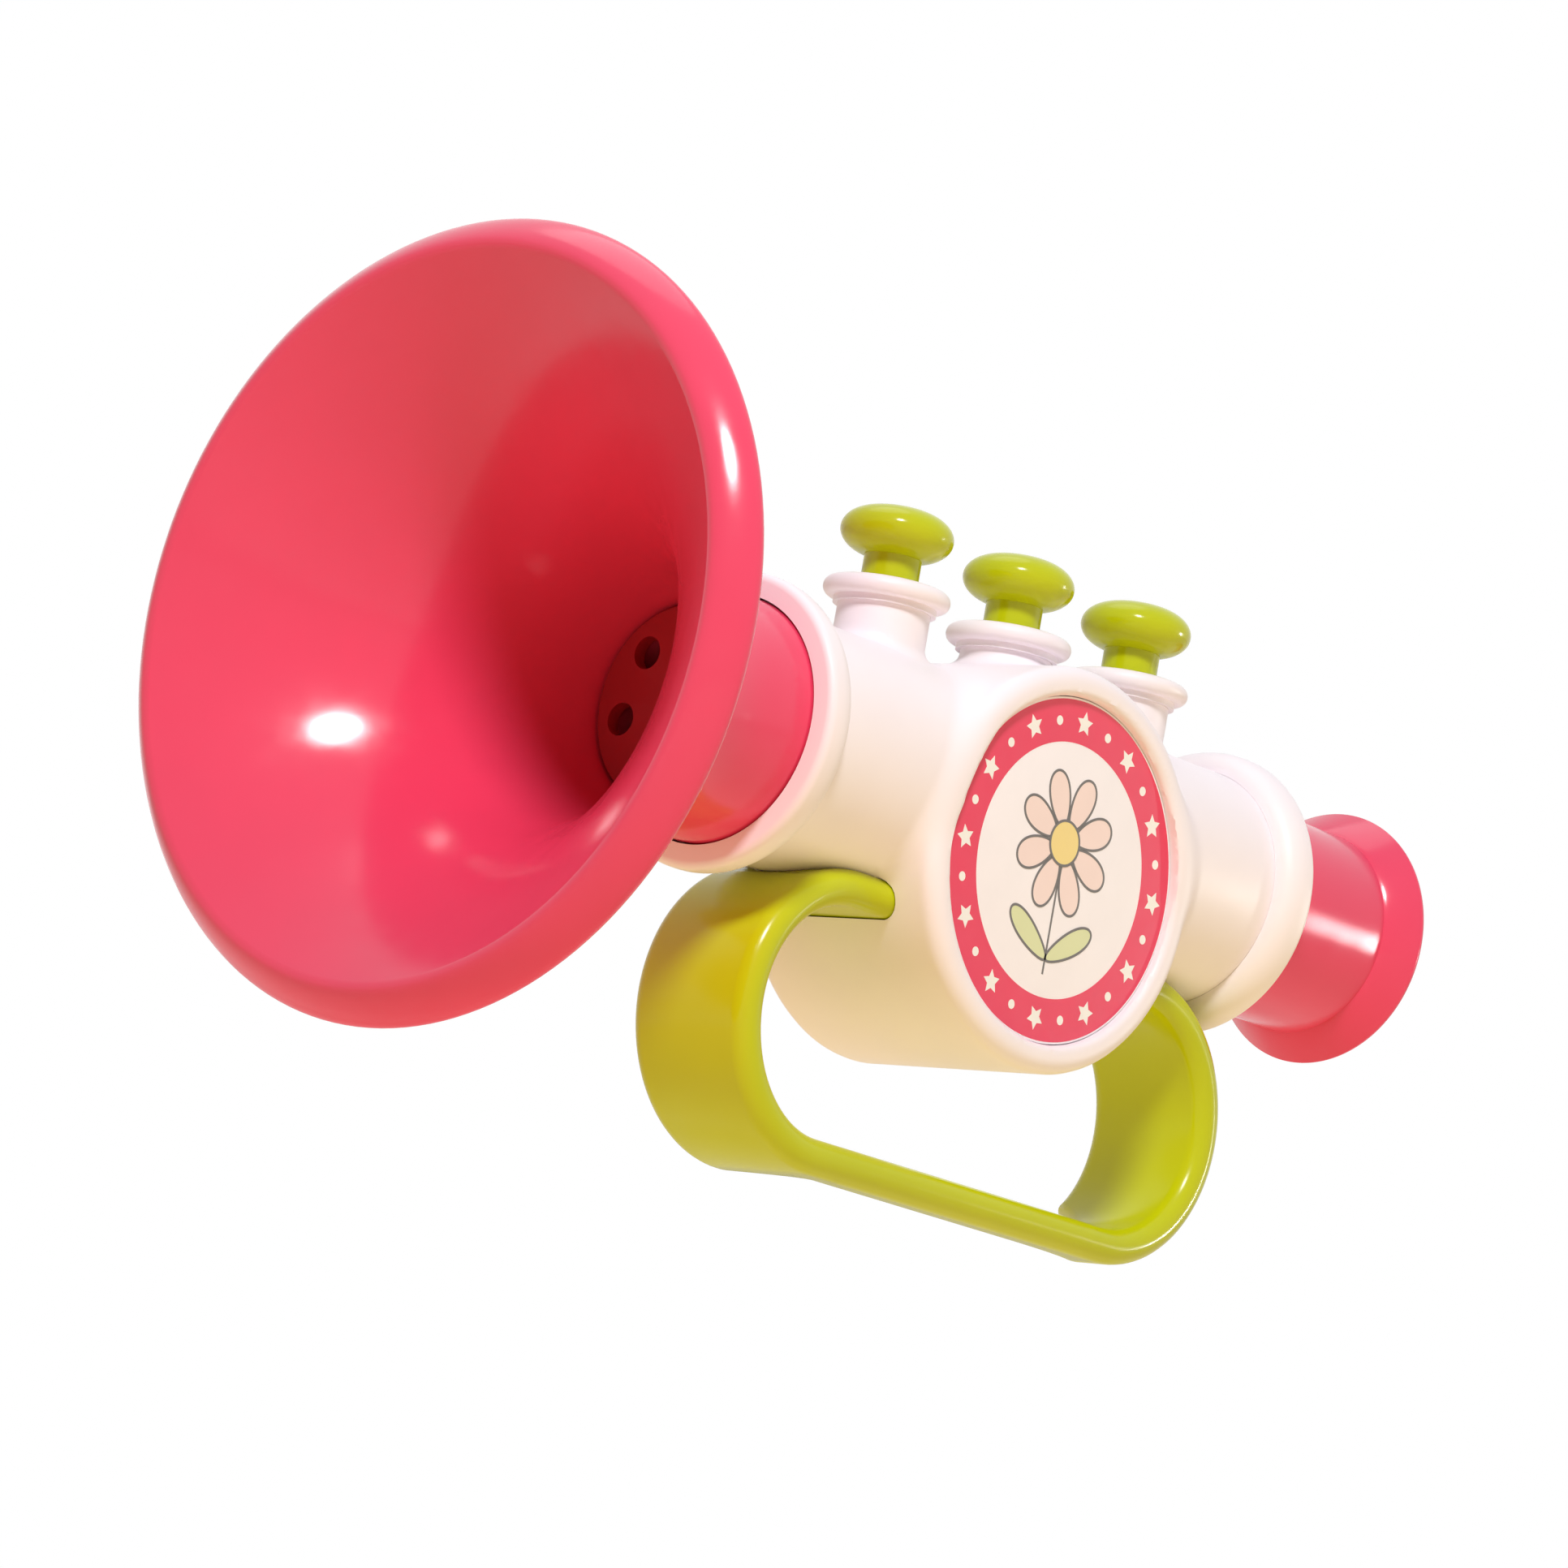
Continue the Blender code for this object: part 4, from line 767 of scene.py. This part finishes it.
def spring_mesh(name):
    """A coil of round wire with closed ends."""
    low = SPRING_LOW.z + SPRING_WIRE
    high = SPRING_HIGH.z - SPRING_WIRE
    count = SPRING_TURNS * SPRING_STEPS
    rings = []
    for step in range(count + 1):
        angle = 2 * math.pi * step / SPRING_STEPS
        out = Vector((math.cos(angle), math.sin(angle), 0.0))
        middle = out * SPRING_RADIUS + Vector((0.0, 0.0, low + (high - low) * step / count))
        ring = []
        for turn in range(WIRE_STEPS):
            around = 2 * math.pi * turn / WIRE_STEPS
            offset = out * math.cos(around) + Vector((0.0, 0.0, math.sin(around)))
            ring.append(middle + offset * SPRING_WIRE)
        rings.append(ring)
    return swept_mesh(name, rings)


def make_springs():
    for number, x in enumerate(VALVE_PLACES, start=1):
        name = f"coil_spring_{number}"
        spring = new_object(name, spring_mesh(name), (MIDDLE_X + x, 0.0, 0.0))
        dress(spring, STEEL_METAL, "trumpet", "screw_steel", f"button_spring_{number}")
        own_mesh(spring)


# Handle


def taper_width(along, taper):
    """Width of the band along the loop, full before the taper and least after it."""
    share = min(max((along - taper[0]) / (taper[1] - taper[0]), 0.0), 1.0)
    ease = 1.0 - (1.0 - share) ** HANDLE_TAPER_POWER
    return HANDLE_WIDTH + (HANDLE_GRIP_WIDTH - HANDLE_WIDTH) * ease


def handle_half(side, taper):
    """Half the loop from its tab to the grip: middle x and z, outward direction, and width."""
    stops = [(side * TAB_END_X, HANDLE_HEIGHT - HANDLE_THICKNESS / 2, Vector((0.0, 0.0, 1.0)), HANDLE_WIDTH)]
    for step in range(HANDLE_BEND_STEPS + 1):
        turn = math.pi * step / HANDLE_BEND_STEPS
        outward = Vector((side * math.sin(turn), 0.0, math.cos(turn)))
        along = (turn - math.pi) * HANDLE_BEND_RADIUS
        stops.append((side * HANDLE_BEND_X + HANDLE_BEND_RADIUS * outward.x,
                      HANDLE_HEIGHT / 2 + HANDLE_BEND_RADIUS * outward.z, outward, taper_width(along, taper)))
    for step in range(1, HANDLE_GRIP_STEPS + 1):
        along = taper[1] * step / HANDLE_GRIP_STEPS
        stops.append((side * (HANDLE_BEND_X - along), HANDLE_THICKNESS / 2, Vector((0.0, 0.0, -1.0)),
                      taper_width(along, taper)))
    return stops


def band_section(width):
    """Across and outward offsets round the band, its front edge in one plane and its edges full round."""
    edge = HANDLE_THICKNESS / 2
    front = -HANDLE_WIDTH / 2 + edge
    back = front + width - 2 * edge
    points = arc((back, 0.0), edge, -90.0, 90.0, HANDLE_EDGE_STEPS)
    points += arc((front, 0.0), edge, 90.0, 270.0, HANDLE_EDGE_STEPS)
    return points


def make_handle():
    stops = handle_half(-1, HANDLE_FRONT_TAPER) + handle_half(1, HANDLE_REAR_TAPER)[::-1]
    rings = []
    for x, z, outward, width in stops:
        rings.append([Vector((x, across, z)) + outward * out for across, out in band_section(width)])
    handle = new_object("loop_handle", swept_mesh("loop_handle", rings), (MIDDLE_X, 0.0, 0.0))
    tools = []
    pin_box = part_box("handle_pin_rear")
    pin_x = (pin_box[0].x + pin_box[1].x) / 2 - MIDDLE_X
    pin_z = (pin_box[0].z + pin_box[1].z) / 2
    for side in (-1, 1):
        ends = sorted((side * SADDLE_START_X, side * (HANDLE_HIGH.x - HANDLE_LOW.x)))
        tools.append(rod(f"saddle_{side}", TUBE_RADIUS + FIT / 2, ends[0], ends[1], "X",
                         (MIDDLE_X, 0.0, AXIS_Z), TURN_STEPS))
        tools.append(rod(f"pin_hole_{side}", PIN_HOLE_RADIUS, -HANDLE_WIDTH, HANDLE_WIDTH, "Y",
                         (MIDDLE_X + side * pin_x, 0.0, pin_z)))
    cut(handle, tools)
    dress(handle, GREEN_PLASTIC, "trumpet", "green_plastic", "handle")


# Label


def circle_outline(radius, x, z):
    points = []
    for step in range(SMALL_TURN_STEPS):
        angle = 2 * math.pi * step / SMALL_TURN_STEPS
        points.append((x + radius * math.cos(angle), z + radius * math.sin(angle)))
    return points


def star_outline(x, z, turn):
    points = []
    for step in range(2 * STAR_POINTS):
        radius = STAR_RADIUS if step % 2 == 0 else STAR_RADIUS * STAR_WAIST
        angle = turn + math.pi * step / STAR_POINTS
        points.append((x + radius * math.cos(angle), z + radius * math.sin(angle)))
    return points


def drop_outline(x, z, turn, length, width):
    """A petal or leaf that starts at a point and runs in a direction."""
    points = []
    for step in range(SMALL_TURN_STEPS):
        angle = 2 * math.pi * step / SMALL_TURN_STEPS
        along = length * (1.0 - math.cos(angle)) / 2
        fullness = DROP_START_SHARE + (1.0 - DROP_START_SHARE) * along / length
        side = width / 2 * math.sin(angle) * fullness
        points.append((x + along * math.cos(turn) - side * math.sin(turn),
                       z + along * math.sin(turn) + side * math.cos(turn)))
    return points


def flower_shapes():
    petals = []
    for number in range(PETALS):
        turn = math.pi / 2 + 2 * math.pi * (number + 0.5) / PETALS
        x = PETAL_START * math.cos(turn)
        z = FLOWER_Z + PETAL_START * math.sin(turn)
        petals.append(drop_outline(x, z, turn, PETAL_LENGTH, PETAL_WIDTH))
    return petals


def leaf_shapes():
    tilt = math.radians(LEAF_TILT)
    return [drop_outline(0.0, LEAF_Z, tilt, LEAF_LENGTH, LEAF_WIDTH),
            drop_outline(0.0, LEAF_Z, math.pi - tilt, LEAF_LENGTH, LEAF_WIDTH)]


def mark_shapes():
    """Stars and dots by turns round the ring."""
    stars, dots = [], []
    for number in range(2 * MARK_COUNT):
        turn = math.pi / 2 + math.pi * number / MARK_COUNT
        x = MARK_RING * math.cos(turn)
        z = MARK_RING * math.sin(turn)
        if number % 2 == 0:
            stars.append(star_outline(x, z, turn))
        else:
            dots.append(circle_outline(DOT_RADIUS, x, z))
    return stars + dots


def label_layer(name, mesh, material):
    layer = new_object(name, mesh, (MIDDLE_X, 0.0, DRUM_Z))
    dress(layer, material, "trumpet", "label")


def filled_layer(name, outlines, back, front, material):
    label_layer(name, prism_mesh(name, outlines, back, front), material)


def line_layer(name, outlines, back, front, material):
    label_layer(name, ribbon_mesh(name, outlines, LINE_WIDTH, back, front), material)


def make_label_disc():
    face = LABEL_LOW.y
    back = LABEL_HIGH.y
    points = [(0.0, back), (LABEL_RADIUS, back)]
    points += arc((LABEL_RADIUS - LABEL_EDGE, face + LABEL_EDGE), LABEL_EDGE, 0.0, -90.0, FINE_EDGE_STEPS)
    points.append((0.0, face))
    mesh = turned_mesh("label_disc", points, "Y", closed=False)
    disc = new_object("label_disc", mesh, (MIDDLE_X, 0.0, DRUM_Z))
    dress(disc, print_on("label_paper", PAPER), "trumpet", "label", "front_label")


def make_label_print():
    """The printed layers, each a level nearer to the eye where it covers another."""
    face = LABEL_LOW.y
    levels = [face - LAYER * level for level in range(LAYER_COUNT + 1)]
    ring = [(RING_OUTER, face), (RING_OUTER, levels[1]), (RING_INNER, levels[1]), (RING_INNER, face)]
    label_layer("label_ring", turned_mesh("label_ring", ring, "Y"), print_on("label_crimson", CRIMSON))
    filled_layer("label_marks", mark_shapes(), levels[1], levels[2], print_on("label_white", WHITE))
    grey = print_on("label_line", LINE_GREY)
    half = LINE_WIDTH / 2
    stalk = [(-half, STALK_FOOT_Z), (half, STALK_FOOT_Z), (half, FLOWER_Z), (-half, FLOWER_Z)]
    filled_layer("label_stem", [stalk], face, levels[1], grey)
    leaves = leaf_shapes()
    filled_layer("label_leaves", leaves, face, levels[1], print_on("label_leaf", LEAF_GREEN))
    line_layer("label_leaf_lines", leaves, face, levels[2], grey)
    petals = flower_shapes()
    filled_layer("label_petals", petals, face, levels[1], print_on("label_petal", PETAL_PINK))
    line_layer("label_petal_lines", petals, face, levels[2], grey)
    middle = [circle_outline(FLOWER_MIDDLE_RADIUS, 0.0, FLOWER_Z)]
    filled_layer("label_flower_middle", middle, face, levels[3], print_on("label_yellow", MIDDLE_YELLOW))
    line_layer("label_middle_line", middle, face, levels[4], grey)


# Rear cover


def screw_place(low, high):
    """Middle of a screw's box, on the plane that the pieces of the cover are drawn from."""
    return Vector(((low.x + high.x) / 2, 0.0, (low.z + high.z) / 2))


def make_rear_cover():
    radius = (COVER_HIGH.z - COVER_LOW.z) / 2
    inner = COVER_LOW.y
    outer = COVER_HIGH.y
    ring = outer + REAR_RING_HEIGHT
    points = [(0.0, inner), (radius, inner)]
    points += arc((radius - REAR_EDGE, outer - REAR_EDGE), REAR_EDGE, 0.0, 90.0)
    points += [(REAR_RING_OUTER + REAR_RING_HEIGHT, outer), (REAR_RING_OUTER, ring), (REAR_RING_INNER, ring),
               (REAR_RING_INNER - REAR_RING_HEIGHT, outer), (0.0, outer)]
    mesh = turned_mesh("rear_panel", points, "Y", closed=False)
    cover = new_object("rear_panel", mesh, (MIDDLE_X, 0.0, DRUM_Z))
    holes = []
    for number, (low, high) in enumerate(SCREW_BOXES):
        name = f"panel_hole_{number}"
        place = screw_place(low, high)
        holes.append(rod(name, SCREW_SHANK_RADIUS + FIT, inner - MM, outer + MM, "Y", place))
    cut(cover, holes)
    dress(cover, CREAM_PLASTIC, "trumpet", "cream_plastic", "rear_cover")


def make_cover_screws():
    seat = COVER_HIGH.y + SEAT
    cross = ((SCREW_SLOT_LENGTH, SCREW_SLOT_WIDTH), (SCREW_SLOT_WIDTH, SCREW_SLOT_LENGTH))
    for number, (low, high) in enumerate(SCREW_BOXES, start=1):
        name = f"panel_screw_{number}"
        place = screw_place(low, high)
        crown_foot = (0.0, high.y - SCREW_CROWN)
        crown = ellipse_arc(crown_foot, SCREW_HEAD_RADIUS, SCREW_CROWN, 90.0, 0.0, EDGE_STEPS)
        points = [(0.0, high.y)] + crown[1:]
        points += [(SCREW_HEAD_RADIUS, seat), (SCREW_SHANK_RADIUS, seat)]
        points += [(SCREW_SHANK_RADIUS, low.y), (0.0, low.y)]
        screw = new_object(name, turned_mesh(name, points, "Y", SMALL_TURN_STEPS, closed=False), place)
        slots = []
        for index, (width, height) in enumerate(cross):
            reach = Vector((width / 2, 0.0, height / 2))
            bottom = place - reach + Vector((0.0, high.y - SCREW_SLOT_DEPTH, 0.0))
            top = place + reach + Vector((0.0, high.y + MM, 0.0))
            slots.append(box(f"screw_slot_{index}", bottom, top))
        cut(screw, slots)
        dress(screw, STEEL_METAL, "trumpet", "screw_steel", f"cover_screw_{number}")


# Materials


def add_node(tree, kind, *inputs, **named):
    """A node with its inputs set, in order or by name with underscores for spaces. None leaves one alone."""
    made = tree.nodes.new(kind)
    chosen = list(zip(made.inputs, inputs))
    chosen += [(made.inputs[name.replace("_", " ")], value) for name, value in named.items()]
    for socket, value in chosen:
        if isinstance(value, bpy.types.NodeSocket):
            tree.links.new(value, socket)
        elif value is not None:
            socket.default_value = value
    return made


def new_material(name):
    material = bpy.data.materials.new(name)
    material.use_nodes = True
    tree = material.node_tree
    shader = tree.nodes["Principled BSDF"]
    coords = tree.nodes.new("ShaderNodeTexCoord").outputs["Object"]
    return material, tree, shader, coords


def shade(colour, factor):
    return (*[min(1.0, channel * factor) for channel in colour], 1.0)


def vary_colour(tree, shader, coords, colour, scale, spread):
    """Base colour that drifts a little over the surface."""
    noise = add_node(tree, "ShaderNodeTexNoise", Vector=coords, Scale=scale, Detail=COLOUR_DETAIL)
    ramp = tree.nodes.new("ShaderNodeValToRGB")
    for stop, place, factor in zip(ramp.color_ramp.elements, COLOUR_SPAN, (1.0 - spread, 1.0 + spread)):
        stop.position = place
        stop.color = shade(colour, factor)
    tree.links.new(noise.outputs["Fac"], ramp.inputs["Fac"])
    tree.links.new(ramp.outputs["Color"], shader.inputs["Base Color"])


def vary_roughness(tree, shader, coords, scale, low, high):
    noise = add_node(tree, "ShaderNodeTexNoise", Vector=coords, Scale=scale, Detail=ROUGHNESS_DETAIL)
    spread = add_node(tree, "ShaderNodeMapRange", noise.outputs["Fac"], *ROUGHNESS_SPAN, low, high)
    tree.links.new(spread.outputs["Result"], shader.inputs["Roughness"])


def add_bump(tree, shader, coords, scale, strength, distance):
    noise = add_node(tree, "ShaderNodeTexNoise", Vector=coords, Scale=scale, Detail=BUMP_DETAIL)
    bump = add_node(tree, "ShaderNodeBump", Strength=strength, Distance=distance, Height=noise.outputs["Fac"])
    tree.links.new(bump.outputs["Normal"], shader.inputs["Normal"])


def plastic(name, colour, roughness, shine):
    """Glossy moulded plastic with a faint drift of colour and an almost flat skin."""
    material, tree, shader, coords = new_material(name)
    vary_colour(tree, shader, coords, colour, scale=70.0, spread=0.015)
    vary_roughness(tree, shader, coords, scale=240.0, low=roughness - 0.03, high=roughness + 0.04)
    add_bump(tree, shader, coords, scale=420.0, strength=0.04, distance=0.1 * MM)
    shader.inputs["IOR"].default_value = PLASTIC_IOR
    shader.inputs["Specular IOR Level"].default_value = shine
    return material


def print_on(name, colour):
    """Ink on glossy film."""
    material, tree, shader, coords = new_material(name)
    vary_colour(tree, shader, coords, colour, scale=260.0, spread=0.012)
    vary_roughness(tree, shader, coords, scale=500.0, low=0.46, high=0.54)
    add_bump(tree, shader, coords, scale=900.0, strength=0.03, distance=0.05 * MM)
    return material


def metal(name, colour, roughness):
    material, tree, shader, coords = new_material(name)
    vary_colour(tree, shader, coords, colour, scale=400.0, spread=0.06)
    vary_roughness(tree, shader, coords, scale=900.0, low=roughness - 0.08, high=roughness + 0.12)
    add_bump(tree, shader, coords, scale=2500.0, strength=0.06, distance=0.05 * MM)
    shader.inputs["Metallic"].default_value = 1.0
    return material


def rubber(name, colour):
    material, tree, shader, coords = new_material(name)
    vary_colour(tree, shader, coords, colour, scale=300.0, spread=0.15)
    vary_roughness(tree, shader, coords, scale=700.0, low=0.65, high=0.85)
    add_bump(tree, shader, coords, scale=3000.0, strength=0.25, distance=0.1 * MM)
    return material


def dress(piece, material, body, slot_name, *nodes):
    """Gives a piece its material and body, and says which nodes it stands for; the slot name is not used."""
    piece.data.materials.clear()
    piece.data.materials.append(material)
    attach(piece, body)
    if nodes:
        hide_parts(*nodes)


def dress_nodes():
    """The nodes that stay in view get a material by their kind."""
    kinds = (
        (("air_chest", "reed_deck", "wind_inlet", "front_cover"), CREAM_PLASTIC),
        (("chest_gasket", "valve_pad"), BLACK_RUBBER),
        (("reed_1", "reed_2", "reed_3", "open_reed"), REED_BRASS),
        (("deck_screw", "reed_screw", "pad_screw", "handle_pin"), STEEL_METAL),
    )
    for name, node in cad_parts.items():
        for starts, material in kinds:
            if name.startswith(starts):
                node.data.materials.clear()
                node.data.materials.append(material)


# Stage


def seen_directly(tree):
    """1 for what the camera sees, also in a reflection or through something clear; 0 for light."""
    path = tree.nodes.new("ShaderNodeLightPath")
    total = add_node(tree, "ShaderNodeMath", path.outputs["Is Camera Ray"], path.outputs["Is Glossy Ray"])
    total = add_node(tree, "ShaderNodeMath", total.outputs["Value"], path.outputs["Is Transmission Ray"])
    total.use_clamp = True
    return total.outputs["Value"]


def make_floor():
    """White to the eye, warm in the light that it throws back, and clear from below."""
    half = FLOOR_SIZE / 2
    mesh = bpy.data.meshes.new("floor")
    mesh.from_pydata([(-half, -half, 0.0), (half, -half, 0.0), (half, half, 0.0), (-half, half, 0.0)], [],
                     [(0, 1, 2, 3)])
    floor = new_object("floor", mesh)
    material = bpy.data.materials.new("floor")
    material.use_nodes = True
    tree = material.node_tree
    tree.nodes.clear()
    warm = tree.nodes.new("ShaderNodeEmission")
    warm.inputs["Color"].default_value = (*FLOOR_GLOW, 1.0)
    white = tree.nodes.new("ShaderNodeBsdfDiffuse")
    white.inputs["Color"].default_value = (*FLOOR_WHITE, 1.0)
    bright = tree.nodes.new("ShaderNodeEmission")
    pale = add_node(tree, "ShaderNodeMixShader", FLOOR_PALENESS, white.outputs["BSDF"],
                    bright.outputs["Emission"])
    clear = tree.nodes.new("ShaderNodeBsdfTransparent")
    geometry = tree.nodes.new("ShaderNodeNewGeometry")
    top = add_node(tree, "ShaderNodeMixShader", seen_directly(tree), warm.outputs["Emission"],
                   pale.outputs["Shader"])
    both = add_node(tree, "ShaderNodeMixShader", geometry.outputs["Backfacing"], top.outputs["Shader"],
                    clear.outputs["BSDF"])
    add_node(tree, "ShaderNodeOutputMaterial", both.outputs["Shader"])
    mesh.materials.append(material)


def make_world():
    """White behind the object, and a soft even light on it that is dimmer from the bell's side."""
    world = bpy.data.worlds.new("studio")
    bpy.context.scene.world = world
    world.use_nodes = True
    tree = world.node_tree
    direction = tree.nodes.new("ShaderNodeTexCoord").outputs["Generated"]
    side = tree.nodes.new("ShaderNodeVectorMath")
    side.operation = "DOT_PRODUCT"
    side.inputs[1].default_value = WORLD_BRIGHT_SIDE
    tree.links.new(direction, side.inputs[0])
    light = add_node(tree, "ShaderNodeMapRange", side.outputs["Value"], -1.0, 1.0, WORLD_DIM, WORLD_LIGHT)
    strength = add_node(tree, "ShaderNodeMix", seen_directly(tree), None, light.outputs["Result"], 1.0)
    background = tree.nodes["Background"]
    background.inputs["Color"].default_value = (1.0, 1.0, 1.0, 1.0)
    tree.links.new(strength.outputs["Result"], background.inputs["Strength"])


def area_light(name, place, facing, size, power):
    lamp = bpy.data.lights.new(name, "AREA")
    lamp.shape = "ELLIPSE"
    lamp.size, lamp.size_y = size
    lamp.energy = power
    thing = bpy.data.objects.new(name, lamp)
    bpy.context.scene.collection.objects.link(thing)
    thing.location = place
    thing.rotation_euler = facing.to_track_quat("Z", "Y").to_euler()
    return thing


def make_lights():
    area_light("key_light", LIGHT_TARGET + KEY_DIRECTION * KEY_DISTANCE, KEY_DIRECTION, KEY_SIZE, KEY_POWER)
    area_light("top_light", LIGHT_TARGET + TOP_DIRECTION * TOP_DISTANCE, TOP_DIRECTION, TOP_SIZE, TOP_POWER)
    card = area_light("card", CARD_PLACE, CARD_FACING, CARD_SIZE, CARD_POWER)
    card.data.spread = CARD_SPREAD
    card.visible_diffuse = False


def make_camera():
    camera = bpy.data.cameras.new("camera")
    camera.lens = CAMERA_LENS
    camera.sensor_width = CAMERA_SENSOR
    camera.clip_start = CAMERA_CLIP_START
    thing = bpy.data.objects.new("camera", camera)
    bpy.context.scene.collection.objects.link(thing)
    pitch = Matrix.Rotation(math.radians(90.0 - CAMERA_ELEVATION), 4, "X")
    heading = Matrix.Rotation(math.radians(CAMERA_AZIMUTH - 90.0), 4, "Z")
    roll = Matrix.Rotation(math.radians(CAMERA_ROLL), 4, "Z")
    turn = heading @ pitch @ roll
    back = Matrix.Translation((0.0, 0.0, CAMERA_DISTANCE))
    thing.matrix_world = Matrix.Translation(CAMERA_TARGET) @ turn @ back
    bpy.context.scene.camera = thing


RED_PLASTIC = plastic("red_plastic", RED, roughness=0.16, shine=0.45)
# Painted shade: the grille's darker red stands in for the shadow in the bell's throat
SHADED_GRILLE_PLASTIC = plastic("grille_painted_shade", GRILLE_SHADE_RED, roughness=0.4, shine=0.2)
CREAM_PLASTIC = plastic("cream_plastic", CREAM, roughness=0.42, shine=0.35)
GREEN_PLASTIC = plastic("green_plastic", GREEN, roughness=0.18, shine=0.28)
STEEL_METAL = metal("screw_steel", STEEL, roughness=0.35)
REED_BRASS = metal("reed_brass", BRASS, roughness=0.3)
BLACK_RUBBER = rubber("black_rubber", BLACK)

make_bell()
make_grille()
make_body()
make_collars()
make_mouthpiece()
make_valve_caps()
make_buttons()
make_springs()
make_handle()
make_label_disc()
make_label_print()
make_rear_cover()
make_cover_screws()
dress_nodes()

make_floor()
make_world()
make_lights()
make_camera()
bpy.context.scene.view_settings.view_transform = "Standard"
